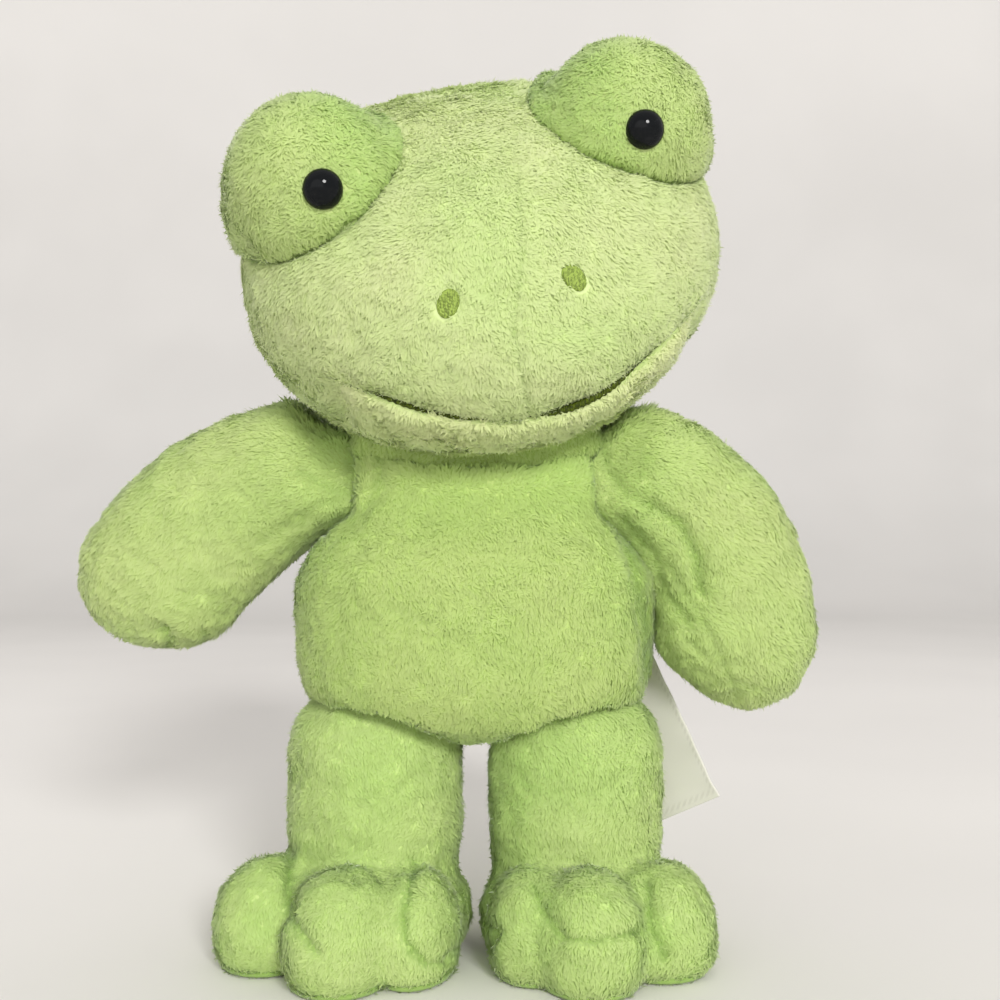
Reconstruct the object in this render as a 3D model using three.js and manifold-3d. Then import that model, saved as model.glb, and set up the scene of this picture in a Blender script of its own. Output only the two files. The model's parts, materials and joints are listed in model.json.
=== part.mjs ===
// A stuffed plush frog that stands on its soles and faces -Y, in millimetres, +Z up.
// Each stuffed part is a plush cover with an open end and a filling inside it.
// The frog's own left side is on +X.
import * as THREE from 'three';
import { mergeVertices } from 'three/addons/utils/BufferGeometryUtils.js';
import { ConvexGeometry } from 'three/addons/geometries/ConvexGeometry.js';
import Module from 'manifold-3d';

const wasm = await Module();
wasm.setup();

// Cloth and fits
const CLOTH = 4; // plush cloth with its pile pressed flat
const GAP = 0.3; // air between two pieces that touch
const SWEEP_ROOM = 1.7; // air round the outline of the moving head or leg
const FILLING = CLOTH + 0.7; // from the plush surface to the filling inside
const FLAT = 0.5; // how deep the soles are pressed flat

// Body
const BODY_BOTTOM = 94;
const BODY_HEIGHT = 143;
const HIP_WIDTH = 161;
const SHOULDER_WIDTH = 130;
const BELLY_FRONT = 56;
const BODY_BACK = 50;
const CHEST_DEPTH = 0.66; // depth at the chest as a share of the belly's

// Neck
const NECK_RADIUS = 34;
const NECK_HEIGHT = 221;
const CUP_ROOM = 1; // air between the neck and its cup in the head
const HEAD_TURN = 12; // degrees each way
const NOD_DOWN = 8;
const NOD_UP = 6;

// Head
const HEAD_WIDTH = 208;
const HEAD_HEIGHT = 164;
const HEAD_FRONT = 75;
const HEAD_BACK = 64;
const HEAD_PLACE = new THREE.Vector3(4, -15, 300);
const HEAD_TILT = 12.6; // degrees, the frog's left eye higher
const HEAD_LOOK = 8; // degrees towards its own left
const HEAD_LEAN = 0.2; // how far the muzzle leans out over the brow
const MOUTH_WIDTH = 184;
const MOUTH_DROP = 71.5; // its middle below the head's middle
const MOUTH_RISE = 49; // its corners above its middle
const MOUTH_THREAD = 2.4;
const JAW_BACK = 6; // where the jaw panel ends, in front of the head's middle
const NOSTRIL_SPREAD = 50;
const NOSTRIL_DROP = 22.5;
const NOSTRIL_SHIFT = -4; // both sit a little off the middle
const NOSTRIL_WIDTH = 7.6;
const NOSTRIL_HEIGHT = 10.8;
const NOSTRIL_SLANT = 28;
const THREAD = 0.9; // how proud embroidery stands

// Eye mounds and eyes
const MOUND_SPREAD = 134;
const MOUND_RISE = 42.5;
const MOUND_FORWARD = 22;
const MOUND_RADIUS = 37;
const MOUND_DEPTH = 44;
const MOUND_POWER = 2.4; // how full it is, 2 for a plain ellipsoid
const EYE_DIAMETER = 15.8;
const EYE_HEIGHT = 7;
const EYE_DOWN = 13.5;
const EYE_IN = 2;
const EYE_SEAT = 1.2; // how deep the eye's flange is pressed into the plush
const STEM_DIAMETER = 4.6;
const STEM_LENGTH = 14;
const WASHER_DIAMETER = 15;
const WASHER_THICKNESS = 1.6;

// Arms
const SHOULDER_HEIGHT = 218;
const SHOULDER_SPREAD = 120; // from one shoulder seam to the other
const ARM_LENGTH = { left: 136, right: 133 };
const ARM_ROOT = 29;
const ARM_ROOT_EXTRA = 12; // past the shoulder, before the seam's cut
const ARM_WIDTH = 70;
const PAW_WIDTH = { left: 72, right: 75 };
const ARM_THICKNESS = 50;
const ARM_SLOPE = { left: 20, right: 12 }; // degrees below level at the shoulder
const PAW_SLOPE = { left: 109, right: 68 };
const ARM_FORWARD_SWING = 60;
const ARM_BACK_SWING = 30;
const PAW_LENGTH = 34;

// Legs and feet
const LEG_SPREAD = 90;
const LEG_WIDTH = 77;
const LEG_DEPTH = 66;
const HIP_HEIGHT = 86;
const HIP_FORWARD = 6;
const LEG_FORWARD_SWING = 70; // degrees
const LEG_BACK_SWING = 10;
const FOOT_WIDTH = 84;
const FOOT_FRONT = 52;
const FOOT_BACK = 50;
const FOOT_FORWARD = 18;
const FOOT_HEIGHT = 45;
const FOOT_TURN = { left: 2, right: 12 }; // degrees outwards
const SOLE = 3;
const TOE_SPREAD = { left: 0.9, right: 1.08 };
const TOES = [
  // out from the leg's middle, forward, half width, half length, height
  { out: 37, forward: 36, width: 24, length: 29, height: 44 },
  { out: 2, forward: 54, width: 24, length: 29, height: 46 },
  { out: -24, forward: 40, width: 18, length: 27, height: 43 },
];

// Care label and closing seam
const LABEL_WIDTH = 38;
const LABEL_LENGTH = 72;
const LABEL_THICKNESS = 0.8;
const LABEL_TURN = 30; // degrees, so that it lies along the back of the hip
const LABEL_SLANT = 27;
const LABEL_PLACE = new THREE.Vector3(68, 28.6, 118);
const STITCHES = 7;
const STITCH_PITCH = 10;
const STITCH_LENGTH = 7;
const STITCH_WIDTH = 1.6;
const STITCH_START = 130; // height of the lowest stitch

const SIDES = { left: 1, right: -1 };
const FINE = 1;
const COARSE = 0.5;
const SWEEP = 0.75; // detail of the room that a moving form sweeps
const SWEEP_STEP = 10; // degrees between the positions of a leg in it
const FAR = 400; // reaches past every piece

const plush = (color) => new THREE.MeshStandardMaterial({ color, roughness: 0.95, metalness: 0 });
const FINISH = {
  head: plush(0xc2d78d),
  mound: plush(0xaecf77),
  body: plush(0xb3cb73),
  arm: plush(0xbfd384),
  leg: plush(0xb4d27b),
  sole: plush(0xa9c873),
  filling: plush(0xf2f0ea),
  thread: new THREE.MeshStandardMaterial({ color: 0x7f9440, roughness: 0.6, metalness: 0 }),
  eye: new THREE.MeshStandardMaterial({ color: 0x101214, roughness: 0.08, metalness: 0 }),
  washer: new THREE.MeshStandardMaterial({ color: 0xe9e9e4, roughness: 0.5, metalness: 0 }),
  label: new THREE.MeshStandardMaterial({ color: 0xf0eee4, roughness: 0.8, metalness: 0 }),
};

const radians = THREE.MathUtils.degToRad;
const shift = (x, y, z) => new THREE.Matrix4().makeTranslation(x, y, z);
const turnX = (degrees) => new THREE.Matrix4().makeRotationX(radians(degrees));
const turnY = (degrees) => new THREE.Matrix4().makeRotationY(radians(degrees));
const turnZ = (degrees) => new THREE.Matrix4().makeRotationZ(radians(degrees));
const chain = (...steps) => steps.reduce((all, step) => all.clone().multiply(step));

// A motion about a point, as one matrix.
const about = (point, motion) => chain(
  shift(point.x, point.y, point.z), motion, shift(-point.x, -point.y, -point.z));

// Turns a closed geometry into a solid that can be joined and cut.
function solid(geometry, place = new THREE.Matrix4()) {
  const bare = geometry.clone();
  bare.deleteAttribute('normal');
  bare.deleteAttribute('uv');
  bare.applyMatrix4(place);
  const merged = mergeVertices(bare, 1e-4);
  const vertProperties = new Float32Array(merged.attributes.position.array);
  const triVerts = new Uint32Array(merged.index.array);
  return new wasm.Manifold(new wasm.Mesh({ numProp: 3, vertProperties, triVerts }));
}

const join = (first, ...rest) => rest.reduce((all, next) => all.add(next), first);
const cut = (first, ...rest) => rest.reduce((all, next) => all.subtract(next), first);

// Gives a solid back as a geometry.
function geometryOf(body) {
  const { vertProperties, triVerts } = body.getMesh();
  const geometry = new THREE.BufferGeometry();
  geometry.setAttribute('position', new THREE.BufferAttribute(vertProperties, 3));
  geometry.setIndex(new THREE.BufferAttribute(triVerts, 1));
  geometry.computeVertexNormals();
  return geometry;
}

// How full a rounded form is at v, from -1 at its bottom to 1 at its top.
function fullness(v, below, above) {
  const power = v < 0 ? below : above;
  return Math.pow(Math.max(0, 1 - Math.pow(Math.abs(v), power)), 1 / power);
}

const signedPower = (value, power) => Math.sign(value) * Math.pow(Math.abs(value), power);
const ease = (t) => THREE.MathUtils.smoothstep(t, 0, 1);

// One ring of points round a centre, as a superellipse with its own depth in front and behind.
function ring({ centre, side, rear, width, front, back, power = 2, points }) {
  const ringPoints = [];
  for (let i = 0; i < points; i += 1) {
    const angle = (2 * Math.PI * i) / points;
    const out = signedPower(Math.cos(angle), 2 / power) * width;
    const reach = signedPower(Math.sin(angle), 2 / power);
    ringPoints.push(centre.clone()
      .addScaledVector(side, out)
      .addScaledVector(rear, reach * (reach < 0 ? front : back)));
  }
  return ringPoints;
}

// A closed surface through rings of points, with a point at each end.
function loft(start, rings, end) {
  const count = rings[0].length;
  const points = [start, ...rings.flat(), end];
  const faces = [];
  const at = (row, column) => 1 + row * count + (column % count);
  for (let i = 0; i < count; i += 1) {
    faces.push(0, at(0, i + 1), at(0, i));
    faces.push(points.length - 1, at(rings.length - 1, i), at(rings.length - 1, i + 1));
    for (let row = 0; row + 1 < rings.length; row += 1) {
      faces.push(at(row, i), at(row, i + 1), at(row + 1, i));
      faces.push(at(row, i + 1), at(row + 1, i + 1), at(row + 1, i));
    }
  }
  const geometry = new THREE.BufferGeometry().setFromPoints(points);
  geometry.setIndex(faces);
  return geometry;
}

// A stuffed form that stands upright: shape(v) gives its half width and depths at a height
// between -1, its bottom, and 1, its top. An inset makes it smaller all round.
function standing({ bottom, height, shape, power, rows, points, inset, detail }) {
  const middle = bottom + height / 2;
  const half = height / 2 - inset;
  const rings = [];
  const levels = Math.round(rows * detail);
  for (let i = 1; i < levels; i += 1) {
    const v = -Math.cos((Math.PI * i) / levels);
    const { width, front, back, forward = 0 } = shape(v, inset);
    rings.push(ring({
      centre: new THREE.Vector3(0, -forward, middle + half * v),
      side: new THREE.Vector3(1, 0, 0),
      rear: new THREE.Vector3(0, 1, 0),
      width, front, back, power,
      points: Math.round((points * detail) / 4) * 4,
    }));
  }
  const low = shape(-1, inset).forward ?? 0;
  const high = shape(1, inset).forward ?? 0;
  return loft(new THREE.Vector3(0, -low, middle - half), rings,
    new THREE.Vector3(0, -high, middle + half));
}

function ball(centre, radius, points) {
  const geometry = new THREE.SphereGeometry(radius, points, points / 2).rotateX(Math.PI / 2);
  return geometry.translate(centre.x, centre.y, centre.z);
}

function block(low, high) {
  const size = high.clone().sub(low);
  const middle = low.clone().add(high).multiplyScalar(0.5);
  return solid(new THREE.BoxGeometry(size.x, size.y, size.z).translate(...middle));
}

// Everything above or below a height.
const above = (z) => block(new THREE.Vector3(-FAR, -FAR, z), new THREE.Vector3(FAR, FAR, z + FAR));
const below = (z) => block(new THREE.Vector3(-FAR, -FAR, z - FAR), new THREE.Vector3(FAR, FAR, z));

// The pear of the body: full at the hips, drawn in at the chest.
function bodyForm(inset, detail) {
  const shape = (v, less) => {
    const slope = ease((v + 0.05) / 0.62);
    const chest = THREE.MathUtils.lerp(1, CHEST_DEPTH, slope);
    const round = fullness(v, 4.6, 4.5);
    const width = THREE.MathUtils.lerp(HIP_WIDTH, SHOULDER_WIDTH, slope) / 2;
    return {
      width: (width - less) * round,
      front: (BELLY_FRONT * chest - less) * round,
      back: (BODY_BACK * chest - less) * round,
    };
  };
  return solid(standing({
    bottom: BODY_BOTTOM, height: BODY_HEIGHT, shape, power: 2.3,
    rows: 12, points: 28, inset, detail,
  }));
}

// The wide head: flat on top, with the muzzle leaning out below.
function headGeometry(inset, detail) {
  const shape = (v, less) => {
    const lean = 1 - HEAD_LEAN * v;
    return {
      width: (HEAD_WIDTH / 2 - less) * fullness(v, 1.85, 2.4),
      front: (HEAD_FRONT * lean - less) * fullness(v, 2.8, 1.55),
      back: (HEAD_BACK - less) * fullness(v, 2.1, 2.3),
    };
  };
  return standing({
    bottom: -HEAD_HEIGHT / 2, height: HEAD_HEIGHT, shape, power: 2.25,
    rows: 13, points: 32, inset, detail,
  });
}

const headFrame = chain(
  shift(HEAD_PLACE.x, HEAD_PLACE.y, HEAD_PLACE.z), turnY(-HEAD_TILT), turnZ(HEAD_LOOK));
const headForm = (inset, detail) => solid(headGeometry(inset, detail), headFrame);

const moundMiddle = (side) => new THREE.Vector3(
  (SIDES[side] * MOUND_SPREAD) / 2, -MOUND_FORWARD, MOUND_RISE);

// A mound: round from the front and full towards its front and back.
function moundForm(side, inset, detail) {
  const steps = Math.round(5 * detail) * 2;
  const profile = [];
  for (let i = 0; i <= steps; i += 1) {
    const angle = Math.PI * (i / steps - 0.5);
    const out = i === 0 || i === steps ? 0 : signedPower(Math.cos(angle), 2 / MOUND_POWER);
    const reach = signedPower(Math.sin(angle), 2 / MOUND_POWER);
    profile.push([(MOUND_RADIUS - inset) * out, (MOUND_DEPTH - inset) * reach]);
  }
  const place = chain(headFrame, shift(...moundMiddle(side)), turnX(90));
  return turned(profile, place, Math.round(5 * detail) * 4);
}

// Frame with its origin in the middle of a mound and its +Z out through the eye.
const eyeFrame = (side) => chain(
  headFrame, shift(...moundMiddle(side)), turnZ(-SIDES[side] * EYE_IN), turnX(90 + EYE_DOWN));

// How far the plush lies from the middle of a mound, along the eye's axis.
function eyeReach() {
  const out = new THREE.Vector3(0, 0, 1).applyMatrix4(chain(turnZ(-EYE_IN), turnX(90 + EYE_DOWN)));
  const aside = Math.pow(Math.hypot(out.x, out.z) / MOUND_RADIUS, MOUND_POWER);
  const ahead = Math.pow(Math.abs(out.y) / MOUND_DEPTH, MOUND_POWER);
  return Math.pow(aside + ahead, -1 / MOUND_POWER);
}

// A solid of revolution about +Z from [radius, height] pairs that start and end on the axis.
function turned(profile, place, segments = 16) {
  const outline = profile.map(([radius, height]) => new THREE.Vector2(radius, height));
  return solid(new THREE.LatheGeometry(outline, segments).rotateX(Math.PI / 2), place);
}

const rod = (radius, low, high, place) => turned([[0, low], [radius, low], [radius, high], [0, high]], place);

// A safety eye: a low dome with a stem that goes through the plush.
function eye(side) {
  const radius = EYE_DIAMETER / 2;
  const base = eyeReach() - EYE_SEAT + GAP;
  const tail = base - STEM_LENGTH;
  const profile = [[0, tail], [STEM_DIAMETER / 2, tail], [STEM_DIAMETER / 2, base], [radius, base]];
  const steps = 5;
  for (let i = 1; i <= steps; i += 1) {
    const angle = (Math.PI / 2) * (i / steps);
    profile.push([radius * Math.cos(angle), base + 1 + (EYE_HEIGHT - 1) * Math.sin(angle)]);
  }
  profile[profile.length - 1][0] = 0;
  return turned(profile, eyeFrame(side));
}

const washerTop = () => eyeReach() - EYE_SEAT - CLOTH - GAP;

// The lock washer that holds the eye's stem behind the plush.
function washer(side) {
  const top = washerTop();
  const disc = rod(WASHER_DIAMETER / 2, top - WASHER_THICKNESS, top, eyeFrame(side));
  return cut(disc, rod(STEM_DIAMETER / 2 + GAP, top - 2 * WASHER_THICKNESS, top + 1, eyeFrame(side)));
}

// The room that the eye and its washer need in the plush and in the filling.
function eyeRoom(side) {
  const seat = eyeReach() - EYE_SEAT;
  const place = eyeFrame(side);
  return {
    plush: join(
      rod(EYE_DIAMETER / 2 + GAP, seat, seat + 2 * EYE_HEIGHT, place),
      rod(STEM_DIAMETER / 2 + GAP, seat - 2 * STEM_LENGTH, seat + 1, place),
      rod(WASHER_DIAMETER / 2 + GAP, seat - STEM_LENGTH - GAP, washerTop() + GAP, place)),
    filling: rod(WASHER_DIAMETER / 2 + GAP, seat - STEM_LENGTH - GAP, seat + EYE_HEIGHT, place),
  };
}

// Prism along the head's depth from an outline seen from the front.
function frontPrism(shape, nearest, farthest) {
  const options = { depth: nearest - farthest, bevelEnabled: false, curveSegments: 6 };
  const geometry = new THREE.ExtrudeGeometry(shape, options).rotateX(Math.PI / 2);
  return solid(geometry.translate(0, -farthest, 0), headFrame);
}

// Points along the mouth seam, a shallow arc that rises to its corners, moved up or down by
// an offset that may fade towards the corners.
function mouthLine(offset, fade = 0) {
  const steps = 16;
  const points = [];
  for (let i = 0; i <= steps; i += 1) {
    const share = 2 * (i / steps) - 1;
    const height = -MOUTH_DROP + MOUTH_RISE * share * share;
    const proud = offset * (1 - fade * Math.abs(share));
    points.push(new THREE.Vector2((share * MOUTH_WIDTH) / 2, height + proud));
  }
  return points;
}

// Everything below the mouth seam, in front of the head's middle.
function jawRegion(offset) {
  const line = mouthLine(offset);
  const reach = MOUTH_WIDTH / 2 + HEAD_WIDTH;
  const shape = new THREE.Shape([
    new THREE.Vector2(-reach, line[0].y), ...line, new THREE.Vector2(reach, line[0].y),
    new THREE.Vector2(reach, -HEAD_HEIGHT), new THREE.Vector2(-reach, -HEAD_HEIGHT)]);
  return frontPrism(shape, FAR, JAW_BACK - offset);
}

// A thin layer that lies on the head, proud by an embroidery thread.
const headThread = () => cut(headForm(-GAP - THREAD, FINE), headForm(-GAP, FINE));

function mouthThread() {
  const upper = mouthLine(MOUTH_THREAD / 2, 0.7);
  const lower = mouthLine(-MOUTH_THREAD / 2, 0.7).reverse();
  return headThread().intersect(frontPrism(new THREE.Shape([...upper, ...lower]), FAR, 0));
}

function nostril(side) {
  const shape = new THREE.Shape();
  shape.absellipse(NOSTRIL_SHIFT + (SIDES[side] * NOSTRIL_SPREAD) / 2, -NOSTRIL_DROP, NOSTRIL_WIDTH / 2,
    NOSTRIL_HEIGHT / 2, 0, 2 * Math.PI, false, radians(SIDES[side] * NOSTRIL_SLANT));
  return headThread().intersect(frontPrism(shape, FAR, 0));
}

// Neck: half a ball on the flat top of the body, in a cup under the head.
const neckPoint = new THREE.Vector3(0, 0, NECK_HEIGHT);
const neckBall = (radius) => solid(ball(neckPoint, radius, 24));
const neck = () => cut(neckBall(NECK_RADIUS), below(NECK_HEIGHT));

// The space that the head sweeps as it turns and nods, as the hull of its limits.
function headSweep() {
  const points = [];
  const form = headGeometry(-SWEEP_ROOM, SWEEP).applyMatrix4(headFrame);
  for (const turn of [-HEAD_TURN, 0, HEAD_TURN]) {
    for (const nod of [-NOD_UP, NOD_DOWN]) {
      const motion = about(neckPoint, chain(turnZ(turn), turnX(nod)));
      const moved = form.clone().applyMatrix4(motion);
      const corners = moved.attributes.position;
      for (let i = 0; i < corners.count; i += 1) {
        points.push(new THREE.Vector3().fromBufferAttribute(corners, i));
      }
    }
  }
  return solid(new ConvexGeometry(points));
}

// Shoulder seam: a turned surface about the axis of the arm's swing, from [radius, distance out].
const shoulderSlope = () => {
  const out = SHOULDER_SPREAD / 2;
  const hip = HIP_WIDTH / 2;
  return [[0, out], [ARM_ROOT + 3, out], [ARM_WIDTH / 2 + 4, hip - 8], [ARM_WIDTH * 0.8, hip - 1],
    [ARM_WIDTH * 1.1, hip + 2]];
};

const shoulderFrame = (side) => chain(
  shift(0, 0, SHOULDER_HEIGHT), turnY(SIDES[side] * 90));

// Room outside the shoulder seam, which the arm may fill.
function armRoom(side) {
  const slope = shoulderSlope();
  const [radius] = slope[slope.length - 1];
  return turned([...slope, [radius, FAR], [0, FAR]], shoulderFrame(side), 28);
}

// Room inside the shoulder seam, which the arm leaves to the body.
function bodyRoom(side) {
  const slope = shoulderSlope().map(([radius, out]) => [radius, out + 2 * GAP]);
  const [, out] = slope[slope.length - 1];
  return turned([[0, 0], [FAR / 2, 0], [FAR / 2, out], ...slope.reverse()], shoulderFrame(side), 28);
}

// Where an arm's middle line is at a distance from the shoulder, and which way it goes there:
// straight down the shoulder's slope at first, then an even bend to the paw.
function armLine(side, distance) {
  const heading = (travelled) => {
    const share = Math.max(0, travelled) / ARM_LENGTH[side];
    const angle = radians(THREE.MathUtils.lerp(ARM_SLOPE[side], PAW_SLOPE[side], share));
    return new THREE.Vector3(SIDES[side] * Math.cos(angle), 0, -Math.sin(angle));
  };
  const spot = new THREE.Vector3(
    SIDES[side] * (SHOULDER_SPREAD / 2 + GAP), 0, SHOULDER_HEIGHT);
  const steps = 40;
  for (let i = 0; i < steps; i += 1) {
    spot.addScaledVector(heading((distance * (i + 0.5)) / steps), distance / steps);
  }
  return { spot, along: heading(distance) };
}

// An arm: a mitten that bends down from the shoulder and swells towards the paw.
function armForm(side, inset, detail, rootExtra = 0) {
  const steps = Math.round(12 * detail);
  const points = Math.round(5 * detail) * 4;
  const length = ARM_LENGTH[side] - inset;
  const root = -ARM_ROOT_EXTRA - rootExtra;
  const rings = [];
  for (let i = 0; i < steps; i += 1) {
    const share = 1 - Math.pow(1 - i / steps, 1.35);
    const distance = THREE.MathUtils.lerp(root, length, share);
    const { spot, along } = armLine(side, distance);
    const swell = ease((distance + 6) / (0.55 * ARM_LENGTH[side]));
    const tip = Math.max(0, (distance - (length - PAW_LENGTH)) / PAW_LENGTH);
    const round = Math.sqrt(1 - tip * tip);
    const upper = new THREE.Vector3(0, SIDES[side], 0).cross(along).negate();
    const depth = (THREE.MathUtils.lerp(ARM_ROOT, ARM_THICKNESS / 2, swell) - inset) * round;
    rings.push(ring({
      centre: spot,
      side: upper,
      rear: along.clone().cross(upper),
      width: (THREE.MathUtils.lerp(ARM_ROOT, PAW_WIDTH[side] / 2, swell) - inset) * round,
      front: depth, back: depth, power: 2.1, points,
    }));
  }
  return solid(loft(armLine(side, root).spot, rings, armLine(side, length).spot));
}

const hip = (side) => new THREE.Vector3(
  (SIDES[side] * LEG_SPREAD) / 2, -HIP_FORWARD, HIP_HEIGHT);

// A leg's column: round about the hip's axis at its top, a little slimmer at the ankle.
function legGeometry(side, inset, detail) {
  const radius = LEG_DEPTH / 2 - inset;
  const width = LEG_WIDTH / 2 - inset;
  const rings = [];
  const points = Math.round(5 * detail) * 4;
  const upright = { side: new THREE.Vector3(1, 0, 0), rear: new THREE.Vector3(0, 1, 0), points };
  const place = hip(side);
  const ankle = new THREE.Vector3(place.x, place.y, FOOT_HEIGHT * 0.45);
  for (const slim of [0.5, 0.93]) {
    rings.push(ring({
      ...upright,
      centre: new THREE.Vector3(ankle.x, ankle.y, ankle.z + (slim - 0.5) * HIP_HEIGHT * 0.2),
      width: width * slim, front: radius * slim, back: radius * slim,
    }));
  }
  const domeSteps = Math.round(5 * detail);
  for (let i = 0; i < domeSteps; i += 1) {
    const angle = (Math.PI / 2) * (i / domeSteps);
    rings.push(ring({
      ...upright,
      centre: place.clone().add(new THREE.Vector3(0, 0, radius * Math.sin(angle))),
      width: width * Math.cos(angle), front: radius * Math.cos(angle), back: radius * Math.cos(angle),
    }));
  }
  return loft(ankle, rings, place.clone().add(new THREE.Vector3(0, 0, radius)));
}

// A low pad of the foot with a flat bottom, such as a toe; it is widest a third of the way up.
function pad({ width, front, back, height }, place, inset, detail, points) {
  const widest = 0.35;
  const at = (level) => new THREE.Vector3(0, 0, level * (height - inset + FLAT) - FLAT);
  const levels = detail < FINE ? [0, widest, 0.84] : [0, 0.12, widest, 0.62, 0.84, 0.96];
  const rings = levels.map((level) => {
    const v = (level - widest) / (level < widest ? widest / 0.75 : 1 - widest);
    const round = fullness(v, 3, 2.1);
    return ring({
      centre: at(level),
      side: new THREE.Vector3(1, 0, 0),
      rear: new THREE.Vector3(0, 1, 0),
      width: (width - inset) * round,
      front: (front - inset) * round,
      back: (back - inset) * round,
      power: 2.1, points: Math.round((points * detail) / 4) * 4,
    });
  });
  return solid(loft(at(0), rings, at(1)), place);
}

function footForm(side, inset, detail) {
  const place = hip(side);
  const outward = SIDES[side];
  const frame = chain(shift(place.x, -FOOT_FORWARD, 0), turnZ(outward * FOOT_TURN[side]));
  const instep = { width: FOOT_WIDTH / 2, front: FOOT_FRONT, back: FOOT_BACK, height: FOOT_HEIGHT };
  const toes = TOES.map((toe) => {
    const spot = shift(outward * toe.out * TOE_SPREAD[side], FOOT_FORWARD - toe.forward, 0);
    const size = { width: toe.width, front: toe.length, back: toe.length, height: toe.height };
    return pad(size, chain(frame, spot), inset, detail, 12);
  });
  return join(pad(instep, frame, inset, detail, 20), ...toes);
}

const legForm = (side, inset, detail) => join(
  solid(legGeometry(side, inset, detail)), footForm(side, inset, detail));

// The space that a leg sweeps as it swings, as the hull of its positions.
function legSweep(side) {
  const points = [];
  const form = legGeometry(side, -SWEEP_ROOM, SWEEP);
  for (let angle = -LEG_BACK_SWING; angle <= LEG_FORWARD_SWING; angle += SWEEP_STEP) {
    const moved = form.clone().applyMatrix4(about(hip(side), turnX(-angle)));
    const corners = moved.attributes.position;
    for (let j = 0; j < corners.count; j += 1) {
      points.push(new THREE.Vector3().fromBufferAttribute(corners, j));
    }
  }
  return solid(new ConvexGeometry(points));
}

// Body, open at the neck, shoulders and hips.
function makeBody() {
  const rooms = join(
    headSweep(), above(NECK_HEIGHT - GAP), armRoom('left'), armRoom('right'),
    legSweep('left'), legSweep('right'));
  const cover = cut(bodyForm(0, FINE), bodyForm(CLOTH, COARSE), rooms);
  const filling = cut(bodyForm(FILLING, COARSE), rooms);
  return { cover, filling };
}

// Head, with the jaw panel apart below the mouth seam and the mounds on top.
function makeHead() {
  const cup = neckBall(NECK_RADIUS + CUP_ROOM);
  const inner = join(headForm(CLOTH, COARSE), moundForm('left', CLOTH, COARSE),
    moundForm('right', CLOTH, COARSE));
  const whole = cut(headForm(0, FINE), inner, cup);
  const rooms = { left: eyeRoom('left'), right: eyeRoom('right') };
  const filling = cut(
    join(headForm(FILLING, COARSE), moundForm('left', FILLING, COARSE),
      moundForm('right', FILLING, COARSE)),
    cup, rooms.left.filling, rooms.right.filling);
  const mound = (side) => cut(
    moundForm(side, 0, FINE), moundForm(side, CLOTH, COARSE), headForm(-GAP, FINE), rooms[side].plush);
  return {
    cover: cut(whole, jawRegion(GAP / 2)),
    jaw: whole.intersect(jawRegion(-GAP / 2)),
    filling,
    mounds: { left: mound('left'), right: mound('right') },
  };
}

// What the head sweeps, as an arm meets it at any angle of its own swing.
function headAroundArm() {
  const head = headSweep();
  const shoulder = new THREE.Vector3(0, 0, SHOULDER_HEIGHT);
  const angles = [-ARM_BACK_SWING, 0, ARM_FORWARD_SWING / 2, ARM_FORWARD_SWING];
  return join(...angles.map((angle) => head.transform(about(shoulder, turnX(angle)).elements)));
}

function makeArm(side) {
  const rooms = join(bodyRoom(side), headAroundArm());
  const inner = armForm(side, CLOTH, COARSE, 2);
  return {
    cover: cut(armForm(side, 0, FINE), inner, rooms),
    filling: cut(armForm(side, FILLING, COARSE), rooms),
  };
}

// Leg and foot, closed below by the sole and open inside the hip.
function makeLeg(side) {
  const place = hip(side);
  const opening = rod(LEG_DEPTH / 4, HIP_HEIGHT, HIP_HEIGHT + LEG_DEPTH,
    shift(place.x, place.y, 0));
  const outer = legForm(side, 0, FINE);
  return {
    cover: cut(outer, legForm(side, CLOTH, COARSE), opening, below(SOLE + GAP)),
    filling: cut(legForm(side, FILLING, COARSE), below(SOLE + GAP)),
    sole: cut(outer, below(0), above(SOLE)),
  };
}

// Care label, hanging from its sewn upper edge.
function label() {
  const plate = new THREE.BoxGeometry(LABEL_WIDTH, LABEL_THICKNESS, LABEL_LENGTH);
  plate.translate(0, 0, -LABEL_LENGTH / 2);
  return solid(plate, chain(shift(...LABEL_PLACE), turnZ(-LABEL_TURN), turnY(-LABEL_SLANT)));
}

// Hand-sewn ladder stitches that close the back of the body.
function closingSeam() {
  const layer = cut(bodyForm(-GAP - THREAD, FINE), bodyForm(-GAP, FINE));
  const half = new THREE.Vector3(STITCH_LENGTH / 2, 0, STITCH_WIDTH / 2);
  const cord = [];
  for (let i = 0; i < STITCHES; i += 1) {
    const middle = new THREE.Vector3(0, 0, STITCH_START + i * STITCH_PITCH);
    cord.push(block(middle.clone().sub(half), middle.clone().add(half).setY(FAR)));
  }
  const low = new THREE.Vector3(-STITCH_WIDTH / 2, 0, STITCH_START - STITCH_WIDTH);
  const top = STITCH_START + (STITCHES - 1) * STITCH_PITCH + STITCH_WIDTH;
  cord.push(block(low, new THREE.Vector3(STITCH_WIDTH / 2, FAR, top)));
  return layer.intersect(join(...cord));
}

// Puts a finished solid into a group as a mesh, in the group's own frame.
function hang(group, name, body, material) {
  group.updateWorldMatrix(true, false);
  const geometry = geometryOf(body).applyMatrix4(group.matrixWorld.clone().invert());
  const mesh = new THREE.Mesh(geometry, material);
  mesh.name = name;
  group.add(mesh);
}

function groupAt(parent, point) {
  const group = new THREE.Group();
  group.position.copy(point);
  parent.add(group);
  return group;
}

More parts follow.
